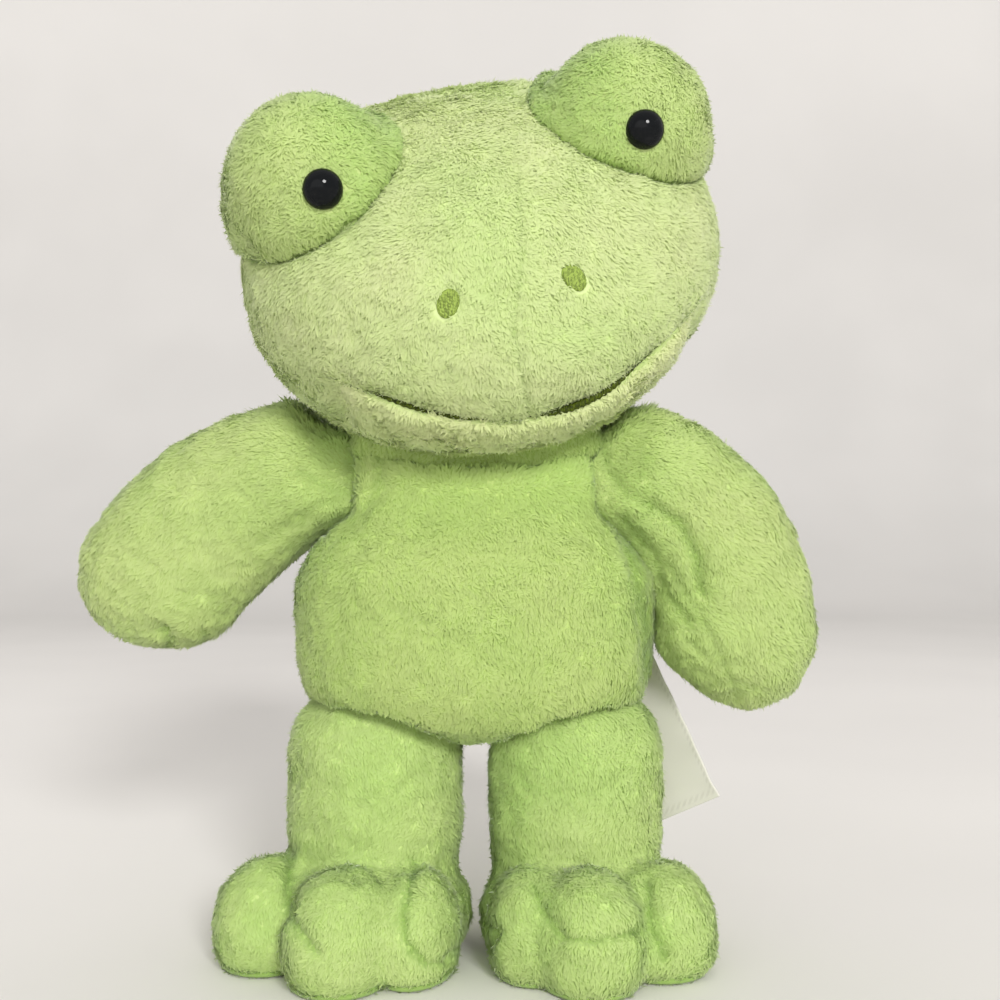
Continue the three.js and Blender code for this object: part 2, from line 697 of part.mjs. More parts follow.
function buildFrog() {
  const frog = new THREE.Group();
  const body = makeBody();
  hang(frog, 'body_cover', body.cover, FINISH.body);
  hang(frog, 'body_filling', body.filling, FINISH.filling);
  hang(frog, 'closing_seam', closingSeam(), FINISH.thread);

  const neckGroup = groupAt(frog, neckPoint);
  hang(neckGroup, 'neck', neck(), FINISH.body);

  const headGroup = new THREE.Group();
  headGroup.applyMatrix4(chain(shift(-neckPoint.x, -neckPoint.y, -neckPoint.z), headFrame));
  neckGroup.add(headGroup);
  const head = makeHead();
  hang(headGroup, 'head_cover', head.cover, FINISH.head);
  hang(headGroup, 'jaw_panel', head.jaw, FINISH.head);
  hang(headGroup, 'head_filling', head.filling, FINISH.filling);
  hang(headGroup, 'mouth_thread', mouthThread(), FINISH.thread);

  for (const side of Object.keys(SIDES)) {
    hang(headGroup, `eye_mound_${side}`, head.mounds[side], FINISH.mound);
    hang(headGroup, `eye_${side}`, eye(side), FINISH.eye);
    hang(headGroup, `eye_washer_${side}`, washer(side), FINISH.washer);
    hang(headGroup, `nostril_${side}`, nostril(side), FINISH.thread);

    const shoulder = new THREE.Vector3((SIDES[side] * SHOULDER_SPREAD) / 2, 0, SHOULDER_HEIGHT);
    const armGroup = groupAt(frog, shoulder);
    const arm = makeArm(side);
    hang(armGroup, `arm_cover_${side}`, arm.cover, FINISH.arm);
    hang(armGroup, `arm_filling_${side}`, arm.filling, FINISH.filling);

    const legGroup = groupAt(frog, hip(side));
    const leg = makeLeg(side);
    hang(legGroup, `leg_cover_${side}`, leg.cover, FINISH.leg);
    hang(legGroup, `leg_filling_${side}`, leg.filling, FINISH.filling);
    hang(legGroup, `sole_${side}`, leg.sole, FINISH.sole);
  }
  hang(groupAt(frog, LABEL_PLACE), 'care_label', label(), FINISH.label);
  return frog;
}

// The origin is under the middle of the whole toy, on the ground.
function standOnOrigin(frog) {
  const box = new THREE.Box3().setFromObject(frog, true);
  const middle = box.getCenter(new THREE.Vector3());
  frog.position.set(-middle.x, -middle.y, -box.min.z);
  return frog;
}

export default standOnOrigin(buildFrog());
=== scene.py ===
"""Light green plush frog: its looks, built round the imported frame.

Laid out as an add-on and run as a script. Forms are worked out in millimetres in the frame
of the part's source, and put into meshes in metres in the row's frame.
"""
import json
import math

import bpy
import numpy as np
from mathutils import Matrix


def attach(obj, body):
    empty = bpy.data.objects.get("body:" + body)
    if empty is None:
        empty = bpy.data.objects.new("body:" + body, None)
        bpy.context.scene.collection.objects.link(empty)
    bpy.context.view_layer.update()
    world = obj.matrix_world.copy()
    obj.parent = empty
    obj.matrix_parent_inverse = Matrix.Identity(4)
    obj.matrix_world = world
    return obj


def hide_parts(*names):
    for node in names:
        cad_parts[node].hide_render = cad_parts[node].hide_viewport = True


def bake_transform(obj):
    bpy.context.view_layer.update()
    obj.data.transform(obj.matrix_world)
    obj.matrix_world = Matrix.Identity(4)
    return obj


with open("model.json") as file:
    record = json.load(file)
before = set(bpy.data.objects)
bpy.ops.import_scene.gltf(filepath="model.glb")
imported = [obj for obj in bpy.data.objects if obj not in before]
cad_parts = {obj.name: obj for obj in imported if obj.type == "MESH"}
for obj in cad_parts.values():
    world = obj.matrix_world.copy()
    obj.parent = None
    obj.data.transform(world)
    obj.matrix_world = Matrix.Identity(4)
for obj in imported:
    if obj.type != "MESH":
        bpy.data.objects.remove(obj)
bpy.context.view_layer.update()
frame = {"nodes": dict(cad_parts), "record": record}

bl_info = {
    "name": "Plush frog",
    "version": (1, 0, 0),
    "blender": (4, 5, 0),
    "location": "View3D > Sidebar > Frog",
    "description": "Builds the plush, embroidery, eyes and label of a stuffed frog",
    "category": "Object",
}

JOINTS = {joint["name"]: joint for joint in frame["record"]["behaviour"]["joints"]}
NECK_HEIGHT = 221.0
MIDDLE = np.array(JOINTS["head_turn"]["pos_m"]) * 1000 - (0, 0, NECK_HEIGHT)
SIDES = {"left": 1, "right": -1}

# Body and collar, in millimetres like all forms. Near the shoulders the body's half width stays
# under BODY_LIMIT, at the distances UNDER_SHOULDER below them.
BODY_BOTTOM, BODY_HEIGHT, BODY_POWER = 94.0, 143.0, 2.3
HIP_WIDTH, SHOULDER_WIDTH = 161.0, 130.0
BELLY_FRONT, BODY_BACK, CHEST_DEPTH = 56.0, 50.0, 0.66
UNDER_SHOULDER, BODY_LIMIT = (0, 24, 32, 42, 53, 70), (52, 54, 63, 73, 80, 92)
COLLAR_HALF_WIDTH, COLLAR_FRONT, COLLAR_BACK, COLLAR_POWER = 60.0, 34.0, 32.0, 2.6
COLLAR_FOOT, COLLAR_IN_HEAD, COLLAR_WAIST, COLLAR_SWELL = 206.0, 7.0, 0.80, 0.20
BODY_PILE_TOP, SOCKET_START, SOCKET_RADIUS, NECK_PILE_FOOT = 217.0, 52.0, 20.0, 212.0
SEAM_HALF_WIDTH, SEAM_FOOT, SEAM_TOP = 2.2, 124.0, 196.0

# Head
HEAD_WIDTH, HEAD_HEIGHT, HEAD_FRONT, HEAD_BACK = 208.0, 164.0, 75.0, 64.0
HEAD_PLACE, HEAD_TILT, HEAD_LOOK, HEAD_LEAN = (4.0, -15.0, 300.0), 12.6, 8.0, 0.2
HEAD_POWER, HEAD_RADII = 2.25, np.array((104.0, 84.0, 82.0))
MOUTH_WIDTH, MOUTH_DROP, MOUTH_RISE = 184.0, 71.5, 49.0
JAW_BACK, JAW_CLOTH, JAW_REACH, JAW_POWER, JAW_DROP = 6.0, 4.0, 103.0, 1.9, 0.985
NOSTRIL_SPREAD, NOSTRIL_DROP, NOSTRIL_SHIFT = 50.0, 22.5, -4.0
NOSTRIL_WIDTH, NOSTRIL_HEIGHT, NOSTRIL_SLANT = 8.4, 11.6, 28.0

# Eye mounds and eyes
MOUND_SPREAD, MOUND_RISE, MOUND_FORWARD = 134.0, 42.5, 22.0
MOUND_RADIUS, MOUND_DEPTH, MOUND_POWER = 37.0, 44.0, 2.4
EYE_DIAMETER, EYE_HEIGHT, EYE_DOWN, EYE_IN, EYE_SEAT = 15.8, 7.0, 13.5, 2.0, 1.2

# Arms
SHOULDER = np.array((60.0, 0.0, 218.0))
ARM_LENGTH = {"left": 136.0, "right": 133.0}
ARM_ROOT, ARM_ROOT_EXTRA, ARM_THICKNESS, ARM_POWER = 29.0, 19.0, 50.0, 2.1
PAW_WIDTH, PAW_LENGTH = {"left": 72.0, "right": 75.0}, 34.0
ARM_SWINGS, ARM_PILE_START = (-30, 0, 30, 60), 43.0
ARM_SLOPE, PAW_SLOPE = {"left": 20.0, "right": 12.0}, {"left": 109.0, "right": 68.0}

# Legs and feet
HIP = np.array((45.0, -6.0, 86.0))
LEG_WIDTH, LEG_DEPTH = 77.0, 66.0
FOOT_WIDTH, FOOT_FRONT, FOOT_BACK, FOOT_FORWARD, FOOT_HEIGHT = 84.0, 52.0, 50.0, 18.0, 45.0
FOOT_TURN, TOE_SPREAD = {"left": 2.0, "right": 12.0}, {"left": 0.9, "right": 1.08}
FOOT_POWER, LEG_VOXEL, LEG_PILE_TOP, SOLE_ROOM = 2.1, 0.0018, 116.0, 1.2
# Each toe: place outwards and forwards, half width, half length, height
TOES = ((37, 36, 24, 29, 44), (2, 54, 24, 29, 46), (-24, 40, 18, 27, 43))

# Care label and closing seam
LABEL_SIZE, LABEL_TURN, LABEL_SLANT = (38.0, 72.0), 30.0, 27.0
LABEL_PLACE = (68.0, 28.6, 118.0)
STITCHES, STITCH_PITCH, STITCH_LENGTH, STITCH_START = 7, 10.0, 7.0, 130.0

# Camera in the frame of the part's source, as calibrated on the photograph
EYE_POINT, FOCAL, PHOTO_SIZE = np.array((11.1, -589.0, 199.0)), 1294.0, 1000

# Stage in metres, with two shades of its tone for the floor, the far wall and its top, as
# painted light and shade that even out the lamps: the near floor lighter, the wall darker; and
# the lamps: share of the key's strength, angle across, place
FLOOR_FRONT, FLOOR_HALF_WIDTH, BEND_START, BEND_RADIUS = -9.0, 9.0, 1.6, 0.9
WALL_FOOT, WALL_TOP, SENSOR_WIDTH = 0.95, 6.0, 36
FLOOR_PAINTED_LIGHT = ((1.29, 1.34), (0.80, 0.84), (0.92, 0.95))
SKY_TONE, SKY_STRENGTH = (1.0, 0.985, 0.965, 1), 0.68
LAMPS = {"key": (1.0, 14, (0.60, -1.75, 1.00)), "fill": (0.26, 60, (-0.5, -1.8, 0.28))}
LAMP_TONE, LAMP_AIM = (1, 0.99, 0.97), (0, 0, 0.2)

# Rows and columns of each form's grid of points
GRIDS = {"body": (150, 300), "head": (200, 380), "jaw": (180, 38), "mound": (60, 110),
         "nostril": (34, 96), "arm": (130, 150), "leg": (60, 90), "pad": (40, 80), "label": (90, 40)}
COLLAR_COLUMNS, COLLAR_ROWS, LID_ROWS, EYE_COLUMNS, SOLE_COLUMNS = 150, 40, 6, 64, 360

# The lattice of the noise; and the pile: lean from upright in degrees, share of upright blades,
# kinds of strand, size of the places that share a cell of the map, and places along each axis
LATTICE, LATTICE_SHIFT = 32, 512.37
PILE_LEAN, UPRIGHT_SHARE, STRANDS, BAKE_PLACE, BAKE_SPAN = 75, 0.08, 4, 9, 128

# Blades of pile on each piece
PILE_COUNTS = {"body": 62000, "neck": 9000, "head_front": 84000, "head_back": 58000, "jaw": 24000,
               "mound": 28000, "arm": 52000, "leg": 62000, "sole": 14000}

# Seed of the noise on each piece; its pile and its two sides use the numbers next to it
SEEDS = {"body": 11, "neck": 21, "head": 31, "jaw": 36, "mound": 41, "arm": 51, "leg": 61, "sole": 71}

# Creases and sewn lines, as the photograph shows them: half width in pixels, depth in
# millimetres, points in pixels. Their depth also sets how dark the painted shade along them is.
HEAD_FOLDS = ((5, 1.3, ((515, 180), (520, 260), (512, 330), (530, 418))),)
BODY_FOLDS = (
    (9, 1.4, ((380, 420), (384, 455), (378, 492), (352, 520))),
    (8, 1.4, ((597, 430), (600, 480), (607, 530))),
    (10, 2.4, ((612, 510), (632, 560), (645, 620), (650, 690))),
    (7, 1.4, ((325, 700), (400, 730), (455, 742))),
    (7, 1.4, ((500, 742), (560, 735), (655, 702))),
)
ARM_FOLDS = {
    "right": (
        (8, 1.2, ((375, 425), (383, 470), (370, 498), (340, 516))),
        (8, 1.2, ((372, 488), (320, 505), (265, 540))),
        (7, 1.5, ((300, 470), (332, 488), (352, 492))),
        (6, 2.0, ((165, 628), (172, 640), (168, 652))),
        (6, 1.6, ((205, 630), (212, 645), (206, 655))),
    ),
    "left": (
        (8, 1.6, ((600, 440), (606, 470), (622, 492), (648, 504))),
        (8, 2.2, ((648, 504), (680, 524), (696, 556), (700, 590))),
        (8, 1.8, ((622, 520), (652, 556), (664, 590), (690, 622))),
        (8, 1.3, ((664, 560), (690, 600), (712, 640), (735, 690))),
        (7, 1.0, ((684, 640), (712, 660), (742, 664))),
        (7, 1.0, ((700, 670), (724, 682), (752, 686))),
    ),
}
FOOT_FOLDS = {
    "right": (
        (7, 2.4, ((290, 850), (290, 915), (318, 950))),
        (6, 2.4, ((416, 862), (405, 912), (405, 940), (425, 962))),
        (5, 1.8, ((425, 962), (446, 962), (460, 946))),
    ),
    "left": (
        (6, 2.2, ((535, 888), (545, 912), (562, 935), (592, 940), (640, 930))),
        (7, 2.4, ((648, 880), (650, 925), (664, 955))),
        (5, 2.0, ((464, 905), (480, 912), (496, 930), (490, 950))),
    ),
}

# Where the mouth's thread shows in pixels across the photograph: share, middle, half width; and
# the middle and half width of the muzzle, where the groove of the mouth is covered
MOUTH_SHOWS = ((0.5, 424, 58), (1, 586, 42))
MUZZLE_MIDDLE, MUZZLE_HALF_WIDTH = 514, 26

# Patches of a richer, darker green, mostly painted shade under the head, in the armpits, under
# the belly and in the creases of the feet, and partly brushed-up pile: u, v, half width, half
# height, share
RICH_AND_SHADED_PATCHES = {
    "head": ((492, 262, 38, 62, 0.75), (578, 335, 58, 34, 0.7),
             (455, 205, 40, 50, 0.35), (625, 270, 34, 60, 0.25)),
    "body": ((560, 478, 60, 44, 0.8), (455, 500, 60, 30, 0.45),
             (620, 600, 34, 70, 0.45), (330, 590, 30, 60, 0.3)),
    "arm_right": ((345, 440, 46, 44, 0.9), (290, 500, 60, 26, 0.5), (225, 520, 50, 30, 0.25)),
    "arm_left": ((640, 500, 34, 60, 0.8), (690, 600, 30, 60, 0.55), (740, 640, 26, 30, 0.3)),
    "leg_right": ((372, 770, 46, 52, 0.75), (262, 915, 22, 34, 0.8),
                  (408, 905, 14, 44, 0.7), (350, 880, 40, 30, 0.3)),
    "leg_left": ((560, 765, 74, 50, 0.85), (545, 918, 18, 34, 0.85),
                 (655, 930, 20, 28, 0.9), (515, 800, 20, 50, 0.6)),
}


# Values and shapes

def signed_power(value, power):
    """The size of a value to a power, with the value's sign."""
    return np.sign(value) * np.abs(value) ** power


def ease(t):
    """Three t squared minus two t cubed, held at 0 and 1 outside."""
    t = np.clip(t, 0, 1)
    return t * t * (3 - 2 * t)


def blend(a, b, t):
    """From a at 0 to b at 1 in a straight line."""
    return a + (b - a) * t


def fullness(v, below, above):
    """(1 - |v|^p)^(1/p), with its own power p under and over the middle."""
    power = np.where(v < 0, below, above)
    return np.clip(1 - np.abs(v) ** power, 0, None) ** (1 / power)


def unit(vectors):
    """Vectors divided by their lengths."""
    return vectors / np.maximum(np.linalg.norm(vectors, axis=-1, keepdims=True), 1e-9)


def around(columns):
    """Even angles round a ring."""
    return 2 * np.pi * np.arange(columns) / columns


def oval(columns, power):
    """A superellipse of half width and half depth 1: cosine and sine to the power 2/p."""
    angle = around(columns)
    return signed_power(np.cos(angle), 2 / power), signed_power(np.sin(angle), 2 / power)


def turn(axis, degrees):
    """Rotation matrix about x, y or z by the right-hand rule."""
    c, s = math.cos(math.radians(degrees)), math.sin(math.radians(degrees))
    i = "xyz".index(axis)
    j, k = (i + 1) % 3, (i + 2) % 3
    matrix = np.eye(3)
    matrix[j, j] = matrix[k, k] = c
    matrix[j, k], matrix[k, j] = -s, s
    return matrix


def lathe(radius, height, columns):
    """Rings round the z axis, each with its own radius and height."""
    angle = around(columns)
    x, y = radius[:, None] * np.cos(angle), radius[:, None] * np.sin(angle)
    return np.stack([x, y, np.broadcast_to(height[:, None], x.shape)], -1)


def held_under(value, limit, soft):
    """A value eased under a limit: the limit less soft times log(1 + exp((limit - value) / soft))."""
    return limit - soft * np.logaddexp(0, (limit - value) / soft)


def placed(points, matrix, place=(0, 0, 0)):
    """Points turned by a matrix and moved to a place."""
    return points @ np.asarray(matrix).T + np.asarray(place)


HEAD_TURNED = turn("y", -HEAD_TILT) @ turn("z", HEAD_LOOK)


def on_head(points):
    """From the head's own frame to the part's."""
    return placed(points, HEAD_TURNED, HEAD_PLACE)


def in_head(points):
    """From the part's frame to the head's own."""
    return (points - np.array(HEAD_PLACE)) @ HEAD_TURNED


def soft_noise(points, size, seed):
    """Random values at the corners of a lattice of cells, blended inside each cell with an
    eased weight along each axis: smooth lumps between -1 and 1, about a cell apart."""
    table = np.random.default_rng(seed).uniform(-1, 1, (LATTICE, LATTICE, LATTICE))
    q = points / size + LATTICE_SHIFT
    low = np.floor(q).astype(np.int64)
    f = ease(q - low)
    total = np.zeros(points.shape[:-1])
    for dx in (0, 1):
        wx = f[..., 0] if dx else 1 - f[..., 0]
        for dy in (0, 1):
            wy = f[..., 1] if dy else 1 - f[..., 1]
            for dz in (0, 1):
                wz = f[..., 2] if dz else 1 - f[..., 2]
                x, y, z = ((low[..., i] + step) & (LATTICE - 1) for i, step in enumerate((dx, dy, dz)))
                total += wx * wy * wz * table[x, y, z]
    return total


def noise_vector(points, size, seed):
    """Three noises side by side."""
    return np.stack([soft_noise(points, size, seed + i) for i in range(3)], -1)


def on_photo(points):
    """Where the calibrated camera sees a point: u right, v down, in pixels."""
    scale = FOCAL / (points[..., 1] - EYE_POINT[1])
    u = PHOTO_SIZE / 2 + (points[..., 0] - EYE_POINT[0]) * scale
    v = PHOTO_SIZE / 2 - (points[..., 2] - EYE_POINT[2]) * scale
    return np.stack([u, v], -1)


def fold_depth(points, normals, folds):
    """Depth of the creases: a bell round each polyline, as the camera sees it, on what faces it."""
    at = on_photo(points)
    toward = unit(EYE_POINT - points)
    facing = ease(((normals * toward).sum(-1) + 0.15) / 0.35)
    depth = np.zeros(points.shape[:-1])
    for half, deep, line in folds:
        line = np.array(line, float)
        nearest = np.full(points.shape[:-1], np.inf)
        for a, b in zip(line[:-1], line[1:]):
            along = np.clip(((at - a) @ (b - a)) / ((b - a) @ (b - a)), 0, 1)
            nearest = np.minimum(nearest, np.linalg.norm(at - a - along[..., None] * (b - a), axis=-1))
        depth = np.maximum(depth, deep * np.exp(-(nearest / half) ** 2))
    return depth * facing


def even_levels(outline, rows):
    """Values from -1 to 1 at even steps along the outline, which gives radius and height."""
    v = -np.cos(np.linspace(0, np.pi, 4001))
    radius, height = outline(v)
    run = np.concatenate([[0], np.cumsum(np.hypot(np.diff(radius), np.diff(height)))])
    return np.interp(np.linspace(0, run[-1], rows), run, v)


def standing(shape, bottom, height, power, rows, columns):
    """Rings of a superellipse round an upright line: x is width times cos to the power 2/p, y
    is depth times sin to the power 2/p, with its own depth before and behind."""
    half = height / 2
    v = even_levels(lambda u: (shape(u)[0], half * u), rows)
    width, front, back = shape(v)
    out, reach = oval(columns, power)
    depth = np.where(reach < 0, front[:, None], back[:, None])
    height_of_row = np.broadcast_to((bottom + half + half * v)[:, None], depth.shape)
    return np.stack([width[:, None] * out, depth * reach, height_of_row], -1)


def body_shape(v):
    """Half width and depths: the hips blend into the shoulders, and the chest is flatter."""
    slope = ease((v + 0.05) / 0.62)
    chest = blend(1, CHEST_DEPTH, slope)
    full = fullness(v, 4.6, 4.5)
    return (blend(HIP_WIDTH, SHOULDER_WIDTH, slope) / 2 * full, BELLY_FRONT * chest * full,
            BODY_BACK * chest * full)


def head_shape(v):
    """Half width and depths, each with its own roundness; the forehead leans back."""
    return (HEAD_WIDTH / 2 * fullness(v, 1.85, 2.4),
            HEAD_FRONT * (1 - HEAD_LEAN * v) * fullness(v, 2.8, 1.55),
            HEAD_BACK * fullness(v, 2.1, 2.3))


def head_outward(q):
    """Roughly which way the head's surface faces: the normal of an ellipsoid of its size."""
    return unit(q / HEAD_RADII ** 2)


def head_front(x, z):
    """How far forward the head's surface is, in its own frame, at a place seen from the front."""
    v = np.clip(2 * z / HEAD_HEIGHT, -0.9999, 0.9999)
    width, front, _ = head_shape(v)
    out = np.clip(np.abs(x) / width, 0, 1) ** (HEAD_POWER / 2)
    return -front * np.sqrt(np.clip(1 - out * out, 0, 1)) ** (2 / HEAD_POWER)


def mouth_height(x):
    """A parabola that rises from the middle of the mouth to its corners."""
    return -MOUTH_DROP + MOUTH_RISE * (2 * x / MOUTH_WIDTH) ** 2


def mound_middle(side):
    """Middle of an eye mound in the head's frame."""
    return np.array((SIDES[side] * MOUND_SPREAD / 2, -MOUND_FORWARD, MOUND_RISE))


def eye_matrix(side):
    """Turns the z axis to where an eye looks: forward, a little down and inwards."""
    return turn("z", -SIDES[side] * EYE_IN) @ turn("x", 90 + EYE_DOWN)


def eye_reach():
    """How far a mound's surface is from its middle along the axis of its eye."""
    out = eye_matrix("left")[:, 2]
    aside = (math.hypot(out[0], out[2]) / MOUND_RADIUS) ** MOUND_POWER
    return (aside + (abs(out[1]) / MOUND_DEPTH) ** MOUND_POWER) ** (-1 / MOUND_POWER)


def arm_line(side, distance):
    """Middle line of an arm: it heads down the shoulder's slope and bends evenly to the paw,
    so each point is the running sum of the cosine and sine of its slope."""
    def slope(d):
        share = np.clip(d, 0, None) / ARM_LENGTH[side]
        return np.radians(blend(ARM_SLOPE[side], PAW_SLOPE[side], share))
    share = (np.arange(60) + 0.5) / 60
    steps = slope(distance[:, None] * share)
    x = SIDES[side] * (SHOULDER[0] + 0.3 + np.cos(steps).mean(1) * distance)
    z = SHOULDER[2] - np.sin(steps).mean(1) * distance
    heading = slope(distance)
    along = np.stack([SIDES[side] * np.cos(heading), np.zeros_like(heading), -np.sin(heading)], -1)
    return np.stack([x, np.zeros_like(x), z], -1), along


def arm_grid(side, rows, columns):
    """Rings across the middle line: half width and depth swell from the root to the paw. The
    root closes like a quarter oval inside the body, and the tip like a quarter circle."""
    length = ARM_LENGTH[side]
    share = np.sin(np.linspace(0, np.pi / 2, rows)) ** 0.9
    distance = blend(-ARM_ROOT_EXTRA, length, np.where(share < 0.16, share ** 2 / 0.16, share))
    spot, along = arm_line(side, distance)
    swell = ease((distance + 6) / (0.55 * length))
    tip = np.clip((distance - (length - PAW_LENGTH)) / PAW_LENGTH, 0, 1)
    end = np.clip(-distance / ARM_ROOT_EXTRA, 0, 1)
    full = np.sqrt(np.clip(1 - tip ** 2, 0, 1)) * np.sqrt(np.clip(1 - end ** 2, 0, 1))
    upper = -np.cross(np.array((0, SIDES[side], 0.0)), along)
    rear = np.cross(along, upper)
    out, reach = oval(columns, ARM_POWER)
    width = blend(ARM_ROOT, PAW_WIDTH[side] / 2, swell) * full
    depth = blend(ARM_ROOT, ARM_THICKNESS / 2, swell) * full
    return (spot[:, None] + upper[:, None] * (width[:, None] * out)[..., None]
            + rear[:, None] * (depth[:, None] * reach)[..., None])


def leg_grid(side, rows, columns):
    """An upright column that slims a little to the ankle, under a dome round about the hip."""
    place = HIP * (SIDES[side], 1, 1)
    radius, width = LEG_DEPTH / 2, LEG_WIDTH / 2
    low = FOOT_HEIGHT * 0.45
    heights = np.linspace(low, place[2], rows // 2)
    slim = blend(0.93, 1.0, ease((heights - low) / 40))
    dome = np.linspace(0, np.pi / 2, rows // 2 + 1)[1:]
    z = np.concatenate([[low], heights, place[2] + radius * np.sin(dome)])
    scale = np.concatenate([[0], slim, np.cos(dome)])
    x = place[0] + (scale * width)[:, None] * np.cos(around(columns))
    y = place[1] + (scale * radius)[:, None] * np.sin(around(columns))
    return np.stack([x, y, np.broadcast_to(z[:, None], x.shape)], -1)


def foot_parts(side):
    """The instep and the three toes: middle, half width, depth before and behind, height."""
    parts = [((0.0, 0.0), FOOT_WIDTH / 2, FOOT_FRONT, FOOT_BACK, FOOT_HEIGHT)]
    for out, forward, width, length, height in TOES:
        spot = (SIDES[side] * out * TOE_SPREAD[side], FOOT_FORWARD - forward)
        parts.append((spot, width, length, length, height))
    return parts


def foot_place(points, side):
    """From a foot's own frame to the part's."""
    middle = (SIDES[side] * HIP[0], -FOOT_FORWARD, 0)
    return placed(points, turn("z", SIDES[side] * FOOT_TURN[side]), middle)


def pad_grid(part, rows, columns, lift=0.0):
    """A low pad with a flat bottom, widest a third of the way up."""
    (x, y), width, front, back, height = part
    widest = 0.35

    def shape(u):
        level = (u + 1) / 2
        v = (level - widest) / np.where(level < widest, widest / 0.75, 1 - widest)
        full = np.where(level <= 0, 0, fullness(v, 3, FOOT_POWER))
        return width * full, front * full, back * full
    grid = standing(shape, lift, height - lift, FOOT_POWER, rows, columns)
    return grid + np.array((x, y, 0.0))


def sole_reach(side, angle):
    """How far the outline of the sole is from the foot's middle in each direction: the
    farthest point of a ray that any pad of the foot holds."""
    full = float(fullness(np.array(-0.70), 3, FOOT_POWER))
    t = np.linspace(0, 110, 441)
    x, y = np.cos(angle)[:, None] * t, np.sin(angle)[:, None] * t
    held = np.zeros_like(x, bool)
    for (px, py), width, front, back, _ in foot_parts(side):
        depth = np.where(y - py < 0, front, back) * full
        across = (np.abs(x - px) / (width * full)) ** FOOT_POWER
        held |= across + (np.abs(y - py) / depth) ** FOOT_POWER < 1
    return (t * held).max(1)


# What must stay clear of what moves

def inside_head(points, room):
    """Whether points are in the head, made larger all round by some room."""
    q = in_head(points)
    v = 2 * q[..., 2] / (HEAD_HEIGHT + 2 * room)
    width, front, back = head_shape(np.clip(v, -1, 1))
    depth = np.where(q[..., 1] < 0, front, back) + room
    width, depth = np.maximum(width + room, 0.1), np.maximum(depth, 0.1)
    inside = (np.abs(q[..., 0]) / width) ** HEAD_POWER + (np.abs(q[..., 1]) / depth) ** HEAD_POWER < 1
    return inside & (np.abs(v) < 1)


def inside_moving_head(points, room, swings=(0,)):
    """The same at each limit of the head's turn and nod, seen from an arm at each swing."""
    found = np.zeros(points.shape[:-1], bool)
    neck, shoulder = np.array((0, 0, NECK_HEIGHT)), np.array((0, 0, SHOULDER[2]))
    turn_low, turn_high = JOINTS["head_turn"]["range_deg"]
    nod_low, nod_high = JOINTS["head_nod"]["range_deg"]
    for swing in swings:
        seen = placed(points - shoulder, turn("x", -swing), shoulder)
        for angle in (turn_low, 0, turn_high):
            for nod in (nod_low, 0, nod_high):
                pose = turn("z", angle) @ turn("x", nod)
                found |= inside_head(placed(seen - neck, pose.T, neck), room)
    return found


def inside_moving_leg(points, side, room):
    """Whether points are in a leg at any angle of its swing."""
    place = HIP * (SIDES[side], 1, 1)
    width, radius = LEG_WIDTH / 2 + room, LEG_DEPTH / 2 + room
    found = np.zeros(points.shape[:-1], bool)
    low, high = JOINTS[f"leg_{side}_swing"]["range_deg"]
    for angle in np.arange(low, high + 1, 10):
        q = placed(points - place, turn("x", angle))
        across = (q[..., 0] / width) ** 2 + (q[..., 1] / radius) ** 2
        found |= np.where(q[..., 2] > 0, across + (q[..., 2] / radius) ** 2, across) < 1
    return found


def moved_clear(points, inside, direction, reach=70.0):
    """Moves each point that is inside along a direction, its own or one for all, until it is
    just outside, by halving."""
    caught = inside(points)
    if not caught.any():
        return points
    way = np.broadcast_to(direction, points.shape)[caught]
    stuck = points[caught]
    low, high = np.zeros(len(stuck)), np.full(len(stuck), reach)
    for _ in range(11):
        middle = (low + high) / 2
        still = inside(stuck + middle[:, None] * way)
        low, high = np.where(still, middle, low), np.where(still, high, middle)
    result = points.copy()
    result[caught] = stuck + high[:, None] * way
    return result


def eased_clear(grid, inside, direction, reach=70.0, passes=14):
    """Moves a grid clear of what moves, and eases the edge of the cut into the rows and columns
    beside it: the shift is averaged with its neighbours and never less than what is needed."""
    way = np.array(direction, float)
    shift = ((moved_clear(grid, inside, direction, reach) - grid) * way).sum(-1)
    soft = shift.copy()
    for _ in range(passes):
        rows = np.concatenate([soft[:1], soft, soft[-1:]])
        soft = (rows[:-2] + rows[2:] + np.roll(soft, 1, 1) + np.roll(soft, -1, 1) + 2 * soft) / 6
        soft = np.maximum(soft, shift)
    return grid + soft[..., None] * way


# Meshes

def put(name, vertices, faces, sizes, material, normals=None):
    """A mesh object from flat arrays of corners, with its place in the mesh."""
    mesh = bpy.data.meshes.new(name)
    mesh.vertices.add(len(vertices))
    mesh.vertices.foreach_set("co", ((vertices + MIDDLE) / 1000).astype(np.float32).ravel())
    mesh.loops.add(len(faces))
    mesh.loops.foreach_set("vertex_index", faces.astype(np.int32))
    starts = np.concatenate([[0], np.cumsum(sizes)[:-1]])
    mesh.polygons.add(len(sizes))
    mesh.polygons.foreach_set("loop_start", starts.astype(np.int32))
    mesh.polygons.foreach_set("use_smooth", np.ones(len(sizes), bool))
    mesh.update(calc_edges=True)
    if normals is not None:
        mesh.normals_split_custom_set_from_vertices(unit(normals).astype(np.float32))
    mesh.materials.append(material)
    piece = bpy.data.objects.new(name, mesh)
    bpy.context.scene.collection.objects.link(piece)
    return piece


def grid_faces(rows, columns, first=0, close=True):
    """Corners of the quads between neighbouring rows; close joins the last column to the first."""
    r, c = np.meshgrid(np.arange(rows - 1), np.arange(columns if close else columns - 1), indexing="ij")
    n = (c + 1) % columns
    here, above = r * columns, (r + 1) * columns
    return np.stack([here + c, here + n, above + n, above + c], -1).reshape(-1, 4) + first


